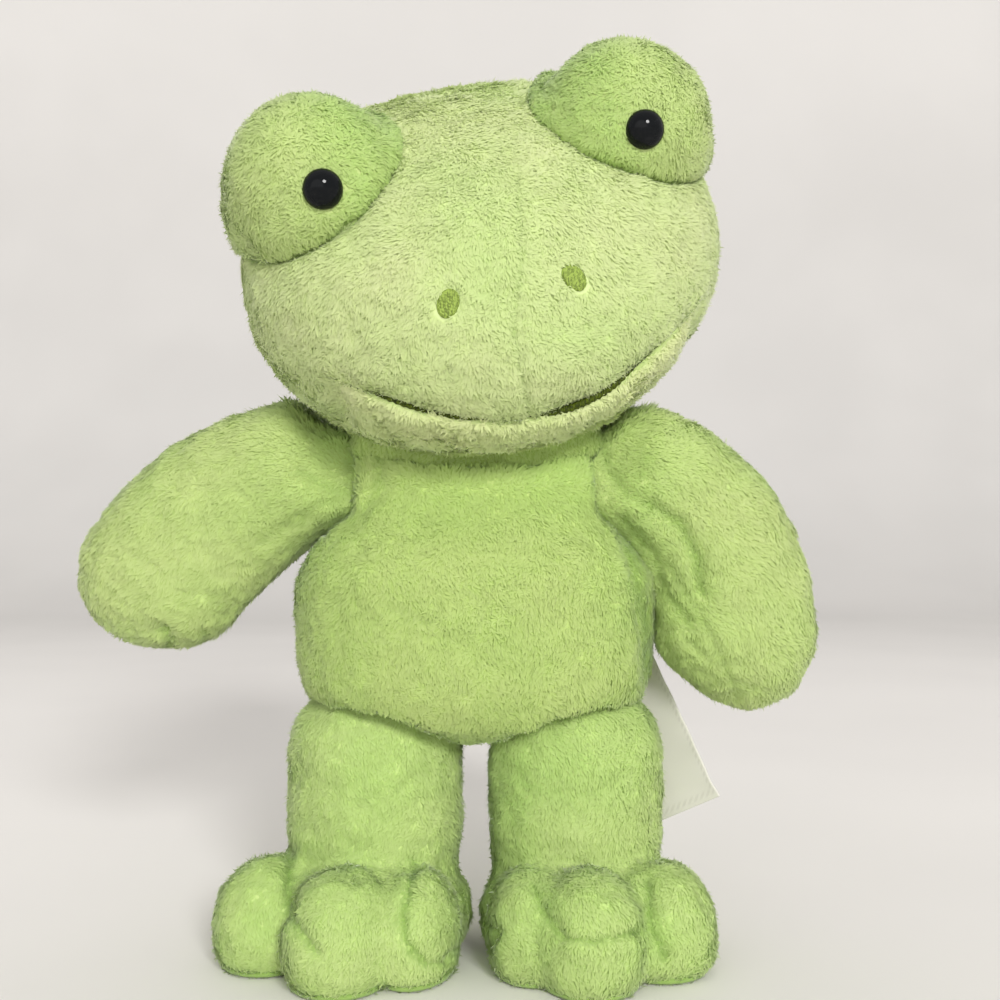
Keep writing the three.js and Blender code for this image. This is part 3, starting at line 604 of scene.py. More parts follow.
def closed_arrays(grid):
    """Vertices and faces of a grid of rings whose end rows are single points, faces outwards."""
    rows, columns = grid.shape[:2]
    inner = grid[1:-1].reshape(-1, 3)
    vertices = np.concatenate([grid[0].mean(0)[None], inner, grid[-1].mean(0)[None]])
    quads = grid_faces(rows - 2, columns, 1)
    c = np.arange(columns)
    n = (c + 1) % columns
    last = 1 + (rows - 3) * columns
    low = np.stack([np.zeros_like(c), 1 + n, 1 + c], -1)
    high = np.stack([np.full_like(c, len(vertices) - 1), last + c, last + n], -1)
    middle = vertices.mean(0)
    a, b, d = (vertices[quads[:, i]] - middle for i in (0, 1, 2))
    if (np.cross(a, b) * d).sum() < 0:
        quads, low, high = quads[:, ::-1], low[:, ::-1], high[:, ::-1]
    faces = np.concatenate([quads.ravel(), low.ravel(), high.ravel()])
    sizes = np.concatenate([np.full(len(quads), 4), np.full(2 * columns, 3)])
    return vertices, faces, sizes


def put_rings(name, grid, material):
    """A closed form from a grid of rings."""
    return put(name, *closed_arrays(grid), material)


def put_joined(name, grids, material):
    """Several closed forms as one mesh."""
    arrays = [closed_arrays(grid) for grid in grids]
    offsets = np.cumsum([0] + [len(vertices) for vertices, _, _ in arrays[:-1]])
    faces = [faces + offset for (_, faces, _), offset in zip(arrays, offsets)]
    vertices, _, sizes = zip(*arrays)
    return put(name, np.concatenate(vertices), np.concatenate(faces), np.concatenate(sizes), material)


def put_sheet(name, grid, material, order=1):
    """An open sheet from a grid of rows; the order of the corners sets the side it faces."""
    quads = grid_faces(*grid.shape[:2], close=False)[:, ::order]
    return put(name, grid.reshape(-1, 3), quads.ravel(), np.full(len(quads), 4), material)


def grid_normals(grid):
    """Cross product of the steps along and across the rows, turned outwards."""
    across = np.roll(grid, -1, 1) - np.roll(grid, 1, 1)
    along = np.gradient(grid, axis=0)
    normal = np.cross(across, along)
    flat = np.linalg.norm(normal, axis=-1) < 1e-6
    outward = grid - grid.reshape(-1, 3).mean(0)
    normal *= np.sign((normal * outward).sum()) or 1
    normal[flat] = outward[flat]
    return unit(normal)


def nap(points, seed, strength=1.0):
    """Clumps of the pile: lumps of three sizes on top of each other."""
    return strength * (0.65 * soft_noise(points, 9.0, seed) + 0.42 * soft_noise(points, 4.2, seed + 1)
                       + 0.28 * soft_noise(points, 2.2, seed + 2))


def partings(points, seed):
    """Thin short valleys where the pile parts: the zero lines of a stretched noise, kept only
    in some patches."""
    line = np.exp(-(soft_noise(points * (0.55, 0.8, 1.0), 4.6, seed + 3) / 0.10) ** 2)
    return line * ease((soft_noise(points, 11.0, seed + 4) - 0.02) / 0.4)


def vertex_arrays(piece):
    """Vertices and normals of a piece in the source's frame."""
    mesh = piece.data
    co = np.empty(len(mesh.vertices) * 3, np.float32)
    mesh.vertices.foreach_get("co", co)
    normal = np.empty(len(mesh.vertices) * 3, np.float32)
    mesh.vertex_normals.foreach_get("vector", normal)
    return co.reshape(-1, 3).astype(float) * 1000 - MIDDLE, normal.reshape(-1, 3).astype(float)


def set_vertices(piece, points):
    """Moves a piece's vertices to points in the source's frame."""
    piece.data.vertices.foreach_set("co", ((points + MIDDLE) / 1000).astype(np.float32).ravel())
    piece.data.update()


def paint(piece, name, values):
    """Keeps one number per vertex for the materials."""
    layer = piece.data.attributes.new(name, "FLOAT", "POINT")
    layer.data.foreach_set("value", np.asarray(values, np.float32))


def finished(piece):
    """Applies what modifiers a piece has."""
    ready = piece.evaluated_get(bpy.context.evaluated_depsgraph_get())
    mesh = bpy.data.meshes.new_from_object(ready)
    piece.modifiers.clear()
    piece.data = mesh


def declare(piece, body, replaced=()):
    """Says which body a piece rides and the nodes it replaces."""
    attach(piece, body)
    if replaced:
        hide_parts(*replaced)


def plush_skin(name, grid, depth, finish, seed, strength=1.0, rough=None):
    """A closed stuffed form from a grid, raised by clumps and sunk along its creases, with painted
    shade in them.
    """
    normal = grid_normals(grid)
    sunk = depth(grid, normal)
    part = partings(grid, seed) * (1.0 if rough is None else rough(grid))
    shaped = grid + normal * (nap(grid, seed, strength) - sunk - 0.55 * strength * part)[..., None]
    shaped[0], shaped[-1] = grid[0], grid[-1]
    piece = put_rings(name, shaped, finish)
    # Painted shade along the creases and partings.
    paint(piece, "fold", flat_rows(sunk + part))
    return piece


def richer(name):
    """How much of the richer, darker green a piece gets at points, from 0 to 1: mostly painted
    shade, partly brushed-up pile.
    """
    def share(points):
        at = on_photo(points)
        found = np.zeros(points.shape[:-1])
        for u, v, wide, high, much in RICH_AND_SHADED_PATCHES[name]:
            found += much * np.exp(-((at[..., 0] - u) / wide) ** 2 - ((at[..., 1] - v) / high) ** 2)
        return np.clip(found, 0, 1)
    return share


def plain(points, normals):
    """No creases."""
    return np.zeros(points.shape[:-1])


def even_sink_and_shade(points, normals):
    """A millimetre everywhere: the form sinks by it, and it gives the whole form a faint, even painted
    shade.
    """
    return np.ones(points.shape[:-1])


def creased(folds):
    """The depth of some creases, as a function of points and normals."""
    def depth(points, normals):
        return fold_depth(points, normals, folds)
    return depth


def halved(weight, behind):
    """A weight for the front half of a piece and one for its back half."""
    def front(points, normals):
        return weight(points, normals) * ~behind(points)

    def back(points, normals):
        return weight(points, normals) * behind(points)
    return front, back


def flat_rows(values):
    """One value for each vertex of a closed form, in the order of closed_arrays."""
    return np.concatenate([[values[0].mean()], values[1:-1].ravel(), [values[-1].mean()]])


# The pile: thousands of short soft blades on each plush piece

def scatter(piece, count, seed, weight):
    """Random places on a mesh, even by area times weight: places, normals."""
    points, normals = vertex_arrays(piece)
    mesh = piece.data
    mesh.calc_loop_triangles()
    corners = np.empty(len(mesh.loop_triangles) * 3, np.int32)
    mesh.loop_triangles.foreach_get("vertices", corners)
    tri = corners.reshape(-1, 3)
    a, b, c = (points[tri[:, i]] for i in range(3))
    area = np.linalg.norm(np.cross(b - a, c - a), axis=1) / 2
    centre = (a + b + c) / 3
    area = area * weight(centre, unit(normals[tri].mean(1)))
    rng = np.random.default_rng(seed)
    chosen = rng.choice(len(tri), count, p=area / area.sum())
    s = np.sqrt(rng.random(count))
    t = rng.random(count)
    share = np.stack([1 - s, s * (1 - t), s * t], -1)[..., None]
    return (points[tri[chosen]] * share).sum(1), unit((normals[tri[chosen]] * share).sum(1)), rng


def pile(name, piece, count, seed, lay, finish, weight, depth=plain, nap_seed=0, rough=None,
         floor=None, deep=None, near=None):
    """Blades of two faces each, like narrow kites bent at their widest place. A blade starts on
    the plush, leans over along the lay, and its tip is drawn towards the middle of its clump."""
    look = bpy.context.scene.frog_plush
    half = look.pile_width * 500
    root, normal, rng = scatter(piece, count, seed, weight)
    way = lay(root) + 0.8 * noise_vector(root, 14, seed + 10) + 0.6 * noise_vector(root, 4.5, seed + 20)
    way = way + 0.4 * rng.normal(size=(count, 3))
    way = unit(way - normal * (way * normal).sum(-1, keepdims=True))
    sunk = depth(root, normal)
    part = partings(root, nap_seed) * (1.0 if rough is None else rough(root))
    tall = look.pile_length * 1000 * rng.uniform(0.65, 1.2, count)
    tall *= (1 + 0.2 * soft_noise(root, 9, seed + 30)) * (1 - 0.4 * np.clip(sunk / 2.5, 0, 1))
    lean = np.radians(PILE_LEAN + 5 * soft_noise(root, 7, seed + 31) + rng.normal(0, 4, count))
    upright = rng.random(count) < UPRIGHT_SHARE
    lean = np.where(upright, lean - 0.5, lean)
    if near is not None:
        close = near(root)
        tall *= 1 + 0.5 * close
        lean -= 0.4 * close
    clump = noise_vector(root, 3.0, seed + 40)
    clump -= normal * (clump * normal).sum(-1, keepdims=True)

    def step(angle, share):
        rise = np.cos(angle)[:, None] * normal + np.sin(angle)[:, None] * way
        return rise * (tall * share)[:, None]
    middle = root + step(lean - 0.14, 0.5) + 0.2 * clump
    tip = middle + step(lean + 0.1, 0.5) + 0.45 * clump
    wide = unit(np.cross(way, normal) + 0.08 * rng.normal(size=(count, 3)))
    wide = wide * (half * rng.uniform(0.7, 1.3, count) * np.where(upright, 0.45, 1))[:, None]
    blades = np.stack([root + 0.1 * normal, middle + wide, tip, middle - wide], 1)
    if floor is not None:
        blades[..., 2] = np.maximum(blades[..., 2], floor)
    first = 4 * np.arange(count)[:, None]
    faces = (first + np.array([[0, 1, 3, 1, 2, 3]])).ravel()
    soft = normal[:, None] + 0.05 * rng.normal(size=(count, 1, 3)) + 0.08 * unit(tip - root)[:, None]
    tuft = put(name, blades.reshape(-1, 3), faces, np.full(2 * count, 3), finish,
               np.broadcast_to(soft, blades.shape).reshape(-1, 3))
    strand = rng.integers(0, STRANDS, count)
    paint(tuft, "height", np.tile((0, 0.5, 1, 0.5), count))
    # Painted shade along the creases, seams and partings, one value for each blade.
    paint(tuft, "fold", np.repeat(sunk + part, 4))
    paint(tuft, "strand", np.repeat(strand / (STRANDS - 1), 4))
    # The richer, darker green of each blade: mostly painted shade, partly brushed-up pile.
    if deep is not None:
        paint(tuft, "deep", np.repeat(deep(root), 4))
    lay_out_bake(tuft, root, strand)
    return tuft


def lay_out_bake(tuft, root, strand):
    """Gives the blades of each small place and kind one cell of the map, root low and tip high."""
    place = np.floor(root / BAKE_PLACE).astype(np.int64) + BAKE_SPAN // 2
    key = (place[:, 0] * BAKE_SPAN + place[:, 1]) * BAKE_SPAN + place[:, 2]
    key = key * STRANDS + strand
    _, cell = np.unique(key, return_inverse=True)
    across = math.ceil(math.sqrt(cell.max() + 1))
    corner = np.stack([cell % across, cell // across], -1)[:, None] / across
    shape = np.array([(0.5, 0.1), (0.88, 0.5), (0.12, 0.5), (0.88, 0.5), (0.5, 0.9), (0.12, 0.5)])
    places = corner + shape[None] / across
    layer = tuft.data.uv_layers.new(name="OFBake")
    layer.uv.foreach_set("vector", places.astype(np.float32).ravel())


# Materials

class Wire:
    """A socket in a finish, with arithmetic that adds Math nodes."""

    def __init__(self, finish, socket):
        self.finish, self.socket = finish, socket

    def _math(self, operation, first, second):
        node = self.finish.add("ShaderNodeMath", {"operation": operation}, {0: first, 1: second})
        return node[0]

    def __add__(self, other):
        return self._math("ADD", self, other)

    def __sub__(self, other):
        return self._math("SUBTRACT", self, other)

    def __rsub__(self, other):
        return self._math("SUBTRACT", other, self)

    def __mul__(self, other):
        return self._math("MULTIPLY", self, other)

    def __pow__(self, other):
        return self._math("POWER", self, other)

    __radd__ = __add__


class Node:
    """A node in a finish; indexing it by name or number gives an output as a wire."""

    def __init__(self, finish, node):
        self.finish, self.node = finish, node

    def __getitem__(self, key):
        return Wire(self.finish, self.node.outputs[key])


class Finish:
    """A procedural material for one kind of surface."""

    def __init__(self, name):
        self.material = bpy.data.materials.new(name)
        self.material.use_nodes = True
        self.tree = self.material.node_tree
        self.tree.nodes.clear()

    def add(self, kind, settings=None, sockets=None):
        """Adds a node: its settings first, a ramp's stops among them, then its sockets."""
        node = self.tree.nodes.new(kind)
        for name, value in (settings or {}).items():
            if name == "stops":
                ramp = node.color_ramp
                for _ in range(len(value) - 2):
                    ramp.elements.new(0.5)
                for element, (position, colour) in zip(ramp.elements, value):
                    element.position, element.color = position, colour
            else:
                setattr(node, name, value)
        for key, value in (sockets or {}).items():
            if isinstance(value, Wire):
                self.tree.links.new(value.socket, node.inputs[key])
            else:
                node.inputs[key].default_value = value
        return Node(self, node)

    def mix(self, factor, first, second):
        """One colour over another by a factor."""
        return self.add("ShaderNodeMix", {"data_type": "RGBA"}, {0: factor, 6: first, 7: second})[2]

    def noise(self, scale, detail=2.0, stretch=(1, 1, 1)):
        """Noise on the piece's own coordinates, so many lumps to the metre."""
        place = self.add("ShaderNodeTexCoord")["Object"]
        place = self.add("ShaderNodeMapping", None, {"Vector": place, "Scale": stretch})["Vector"]
        sockets = {"Vector": place, "Scale": scale, "Detail": detail}
        return self.add("ShaderNodeTexNoise", None, sockets)["Fac"]

    def grade(self, value, low, high):
        """0 at or under a low value, 1 at or over a high one."""
        return self.add("ShaderNodeMapRange", {"interpolation_type": "SMOOTHSTEP"},
                        {"Value": value, "From Min": low, "From Max": high})["Result"]

    def sine(self, value):
        return self.add("ShaderNodeMath", {"operation": "SINE"}, {0: value})[0]

    def attribute(self, name):
        return self.add("ShaderNodeAttribute", {"attribute_name": name})["Fac"]

    def surface(self, through=0.0, behind=None, **sockets):
        """Ends the finish in one shader; underscores stand for spaces in the names. Thin fibre
        also lets through a share of the light behind it."""
        names = {key.replace("_", " "): value for key, value in sockets.items()}
        shader = self.add("ShaderNodeBsdfPrincipled", None, names)
        if through:
            glow = self.add("ShaderNodeBsdfTranslucent", None, {"Color": behind})
            shader = self.add("ShaderNodeMixShader", None, {0: through, 1: shader[0], 2: glow[0]})
        out = self.tree.nodes.new("ShaderNodeOutputMaterial")
        self.tree.links.new(shader.node.outputs[0], out.inputs["Surface"])
        return self.material

    def bump(self, height, strength, distance):
        return self.add("ShaderNodeBump", None,
                        {"Height": height, "Strength": strength, "Distance": distance})["Normal"]


def opaque(colour, by=1.0):
    """A colour times a factor, with full cover."""
    return tuple(min(1.0, c * by) for c in colour[:3]) + (1.0,)


def deeper(colour, red=0.74, green=0.90, blue=0.62):
    """A richer, darker green of the same plush."""
    return opaque((colour[0] * red, colour[1] * green, colour[2] * blue))


def plush_tone(f, colour):
    """The piece's own green in soft patches, pale where the pile lies flat. A richer, darker green
    marks brushed-up pile and painted shade in hollows and under other parts, short dark marks are
    painted shadow of the clumps, and creases, seams and partings are darkened as painted shade."""
    patches = f.grade(f.noise(24, 3), 0.36, 0.64)
    # Painted shadow of the pile's clumps: short dark marks in soft patches.
    clump_shadow_streaks = f.grade(f.noise(190, 3, (0.6, 0.8, 1)), 0.36, 0.66)
    # The deep attribute: a richer, darker green, mostly painted shade in hollows and under other parts.
    base = f.mix(f.attribute("deep") * 0.9, opaque(colour), deeper(colour, 0.79, 0.97, 0.66))
    base = f.mix(patches * 0.55, base, deeper(colour, 0.88, 0.98, 0.80))
    base = f.mix(clump_shadow_streaks * 0.35, base, deeper(colour, 0.86, 0.91, 0.80))
    # Painted shade: darker along creases, seams, grooves and partings.
    crease_shade_mask = f.grade(f.attribute("fold"), 0.3, 3.2)
    return f.mix(crease_shade_mask * 0.85, base, deeper(colour, 0.42, 0.58, 0.26))


def plush_backing(name, colour):
    """The cloth and the roots of the pile: the same green, a little darker as painted shade under the
    pile.
    """
    f = Finish(name)
    tone = f.mix(0.14, plush_tone(f, colour), deeper(colour, 0.55, 0.68, 0.45))
    return f.surface(Base_Color=tone, Roughness=0.95, Sheen_Weight=0.2, Sheen_Roughness=0.6,
                     Normal=f.bump(f.noise(700, 3), 0.35, 0.0005))


def plush_pile(name, colour, tip):
    """The blades: deeper at the root as painted shade among the fibres, and paler at the tip."""
    f = Finish(name)
    height = f.attribute("height")
    base = plush_tone(f, colour)
    # Painted shade: darker towards each blade's root.
    tone = f.mix((1 - height) * 0.20, base, deeper(colour, 0.60, 0.74, 0.48))
    tone = f.mix((height ** 2) * (0.06 + f.attribute("strand") * 0.20), tone, opaque(tip))
    return f.surface(through=0.26, behind=opaque(tip), Base_Color=tone, Roughness=0.9,
                     Sheen_Weight=0.35, Sheen_Roughness=0.45)


def plush_pair(name, colour, tip):
    """The finishes of a piece's cloth and of its pile."""
    return plush_backing(f"{name}_backing", colour), plush_pile(f"{name}_fur", colour, tip)


def thread_finish(name, colour, dark):
    """Satin thread: fine strands with a soft sheen."""
    f = Finish(name)
    strands = f.noise(1500, 2, (1, 1, 0.3))
    tone = f.mix(f.grade(strands, 0.35, 0.65), opaque(dark), opaque(colour))
    return f.surface(Base_Color=tone, Roughness=0.6, Specular_IOR_Level=0.2,
                     Normal=f.bump(strands, 0.5, 0.0003))


def eye_finish(name):
    """Polished black plastic with faint dust in its roughness."""
    f = Finish(name)
    dust = f.grade(f.noise(260, 4), 0.5, 0.8)
    tone = f.mix(dust * 0.15, (0.004, 0.005, 0.006, 1), (0.03, 0.03, 0.032, 1))
    return f.surface(Base_Color=tone, Roughness=0.04 + dust * 0.04, Specular_IOR_Level=0.16)


def moulded_finish(name, colour):
    """Matt moulded plastic with a faint grain."""
    f = Finish(name)
    grain = f.noise(1200, 2)
    tone = f.mix(f.grade(f.noise(60), 0.3, 0.7), opaque(colour, 0.94), opaque(colour))
    return f.surface(Base_Color=tone, Roughness=0.5, Normal=f.bump(grain, 0.1, 0.0001))


def woven_finish(name, colour):
    """White woven tape: fine ribs across its length, hems that catch a little dirt, and a
    sewn line along its edges."""
    f = Finish(name)
    across = f.attribute("across")
    along = f.attribute("along")
    weave = f.sine(along * 900.0) * f.sine(across * 420.0) * 0.5 + 0.5
    edge = f.grade(across, 0.84, 0.90) * (1 - f.grade(across, 0.92, 0.97))
    dashes = f.grade(f.sine(along * 150.0), -0.3, 0.2)
    tone = f.mix(weave * 0.5, opaque(colour, 0.90), opaque(colour))
    tone = f.mix(f.grade(f.noise(45, 3), 0.45, 0.75) * 0.3, tone, opaque((0.80, 0.77, 0.70)))
    tone = f.mix(edge * dashes * 0.55, tone, opaque((0.62, 0.60, 0.55)))
    return f.surface(Base_Color=tone, Roughness=0.85, Sheen_Weight=0.1,
                     Normal=f.bump(weave - edge * dashes, 0.35, 0.0002))


# What a user may change

def tone(name, description, value):
    """A colour property."""
    return bpy.props.FloatVectorProperty(name=name, description=description, default=value,
                                         subtype="COLOR", size=3, min=0.0, max=1.0)


class FrogPlush(bpy.types.PropertyGroup):
    """Pile and colours of the plush."""
    pile_length: bpy.props.FloatProperty(
        name="Pile length", description="Length of the plush pile", default=0.0034, unit="LENGTH")
    pile_width: bpy.props.FloatProperty(
        name="Strand width", description="Width of one clump of fibres", default=0.0009,
        unit="LENGTH")
    head_tone: tone("Head", "Colour of the head's plush", (0.75, 0.815, 0.43))
    mound_tone: tone("Eye mounds", "Colour of the plush round the eyes", (0.61, 0.715, 0.295))
    body_tone: tone("Body", "Colour of the body's plush", (0.545, 0.67, 0.233))
    arm_tone: tone("Arms", "Colour of the arms' plush", (0.585, 0.695, 0.275))
    leg_tone: tone("Legs", "Colour of the legs' plush", (0.57, 0.70, 0.27))
    tip_tone: tone("Tips", "Colour of the tips of the pile", (0.80, 0.90, 0.52))


class FrogTrim(bpy.types.PropertyGroup):
    """Thread, label and light."""
    thread_tone: tone("Thread", "Colour of the embroidery", (0.33, 0.45, 0.09))
    label_tone: tone("Label", "Colour of the care label", (0.80, 0.78, 0.72))
    mouth_width: bpy.props.FloatProperty(
        name="Mouth thread", description="Width of the mouth's thread", default=0.0024,
        unit="LENGTH")
    floor_tone: tone("Floor", "Colour of the floor and backdrop", (0.61, 0.595, 0.58))
    key_strength: bpy.props.FloatProperty(
        name="Key light", description="Strength of the main lamp in watts to the square metre",
        default=2.15)


class FROG_OT_body(bpy.types.Operator):
    """Builds the stuffed body"""
    bl_idname = "frog.body"
    bl_label = "Body"

    def execute(self, context):
        look = context.scene.frog_plush
        grid = standing(body_shape, BODY_BOTTOM, BODY_HEIGHT, BODY_POWER, *GRIDS["body"])
        grid[..., 2] = held_under(grid[..., 2], NECK_HEIGHT - 0.4, 3)
        grid = eased_clear(grid, lambda p: inside_moving_head(p, room=1.0), (0, 0, -1))
        for side in SIDES:
            grid = eased_clear(grid, lambda p: inside_moving_leg(p, side, room=2.4), (0, 0, 1),
                               passes=6)
        limit = np.interp(SHOULDER[2] - grid[..., 2], UNDER_SHOULDER, BODY_LIMIT)
        out = np.maximum(0, held_under(np.abs(grid[..., 0]), limit, 2.5))
        grid[..., 0] = np.sign(grid[..., 0]) * out
        depth, seed = creased(BODY_FOLDS), SEEDS["body"]
        backing, fur_finish = plush_pair("body", look.body_tone, look.tip_tone)
        piece = plush_skin("body_plush", grid, depth, backing, seed)
        declare(piece, "body", ("body_cover", "body_filling"))

        def weight(points, normals):
            """No blade grows where the head, an arm's root or a leg covers the body, or on the
            closing seam."""
            across, z = np.abs(points[:, 0]), points[:, 2]
            bare = inside_head(points, room=-2) | (z > BODY_PILE_TOP)
            bare |= (across > SOCKET_START) & (np.hypot(points[:, 1], z - SHOULDER[2]) < SOCKET_RADIUS)
            for side in SIDES:
                bare |= inside_moving_leg(points, side, room=1.0)
            seam = (points[:, 1] > 0) & (across < SEAM_HALF_WIDTH) & (z > SEAM_FOOT) & (z < SEAM_TOP)
            return np.where(bare | seam, 0.0, 1.0)

        def lay(points):
            """Down, and turned up beside the collar."""
            up = ease((points[:, 2] - 198) / 12)
            return np.stack([0.02 * up * points[:, 0], 0 * up, -1 + 2.2 * up], -1)

        def behind(points):
            return points[:, 1] >= 0
        for i, (end, part) in enumerate(zip(("front", "back"), halved(weight, behind))):
            fur = pile(f"body_pile_{end}", piece, PILE_COUNTS["body"], seed + 1 + i, lay, fur_finish,
                       part, depth, seed, deep=richer("body"))
            declare(fur, "body")
        return {"FINISHED"}


class FROG_OT_neck(bpy.types.Operator):
    """Builds the short neck under the head"""
    bl_idname = "frog.neck"
    bl_label = "Neck"

    def execute(self, context):
        """An upright oval collar that fills the place between the shoulders and the head."""
        look = context.scene.frog_plush
        out, reach = oval(COLLAR_COLUMNS, COLLAR_POWER)
        x = COLLAR_HALF_WIDTH * out
        y = np.where(reach < 0, COLLAR_FRONT, COLLAR_BACK) * reach
        foot = np.stack([x, y, np.full(COLLAR_COLUMNS, COLLAR_FOOT)], -1)
        top = moved_clear(foot, lambda p: ~inside_head(p, -COLLAR_IN_HEAD), (0, 0, 1), reach=50)[:, 2]
        level = np.concatenate([np.linspace(0, 1, COLLAR_ROWS), np.ones(LID_ROWS)])[:, None]
        wall = 1 - 0.1 * np.linspace(0, 1, COLLAR_ROWS - 2) ** 2
        inward = np.concatenate([[0, 0.7], wall, np.linspace(0.86, 0, LID_ROWS)])[:, None]
        height = COLLAR_FOOT + (top - COLLAR_FOOT) * level
        waist = COLLAR_WAIST + COLLAR_SWELL * ease(level / 0.5)
        grid = np.stack([x * inward * waist, y * inward, height], -1)
        backing, fur_finish = plush_pair("neck", look.body_tone, look.tip_tone)
        # The collar is painted a faint, even shade all over: painted shade under the chin.
        piece = plush_skin("neck_plush", grid, even_sink_and_shade, backing, SEEDS["neck"], 0.6)

        def weight(points, normals):
            shown = (points[:, 2] > NECK_PILE_FOOT) & ~inside_head(points, room=-3)
            return np.where(shown, 1.0, 0.0)

        def lay(points):
            return np.broadcast_to((0, 0, -1.0), points.shape)
        # The neck's pile gets the same even painted shade.
        fur = pile("neck_pile", piece, PILE_COUNTS["neck"], SEEDS["neck"] + 1, lay, fur_finish,
                   weight, even_sink_and_shade, SEEDS["neck"])
        x, y = MIDDLE[:2] / 1000
        for part in (piece, fur):
            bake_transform(part)
        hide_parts("neck")
        return {"FINISHED"}


def jaw_share(q):
    """1 on the jaw panel, below the mouth and in front, falling to 0 over a few millimetres, and
    towards the corners of the mouth."""
    below = ease((mouth_height(q[..., 0]) - q[..., 2]) / 1.6) * (1 - mouth_corner(q[..., 0]))
    return below * ease((-JAW_BACK - 1 - q[..., 1]) / 6)


def mouth_corner(x):
    """0 along the mouth, rising to 1 where its corners run out."""
    return ease((np.abs(x) * 2 / MOUTH_WIDTH - 0.74) / 0.16)


def mouth_seen(u):
    """1 where the thread of the mouth shows, 0 where the plush covers it, by place across the
    photograph."""
    return np.clip(sum(much * np.exp(-((u - at) / half) ** 4) for much, at, half in MOUTH_SHOWS), 0, 1)


def mouth_groove(local, world):
    """Depth of the groove under the mouth's thread: a bell round the mouth line, which runs out
    towards the corners and is covered at the middle of the muzzle."""
    away = np.abs(local[..., 2] - mouth_height(local[..., 0]))
    groove = np.where(local[..., 1] < -JAW_BACK, 2.2 * np.exp(-(away / 2.6) ** 2), 0)
    groove = groove * (1 - ease((np.abs(local[..., 0]) * 2 / MOUTH_WIDTH - 0.58) / 0.2))
    middle = (on_photo(world)[..., 0] - MUZZLE_MIDDLE) / MUZZLE_HALF_WIDTH
    return groove * (1 - 0.75 * np.exp(-middle ** 4))


def head_lay(points):
    """Down and outwards from the middle of the forehead."""
    q = in_head(points)
    way = np.stack([0.014 * q[..., 0], np.full(q.shape[:-1], -0.1), np.full(q.shape[:-1], -0.8)], -1)
    return way @ HEAD_TURNED.T


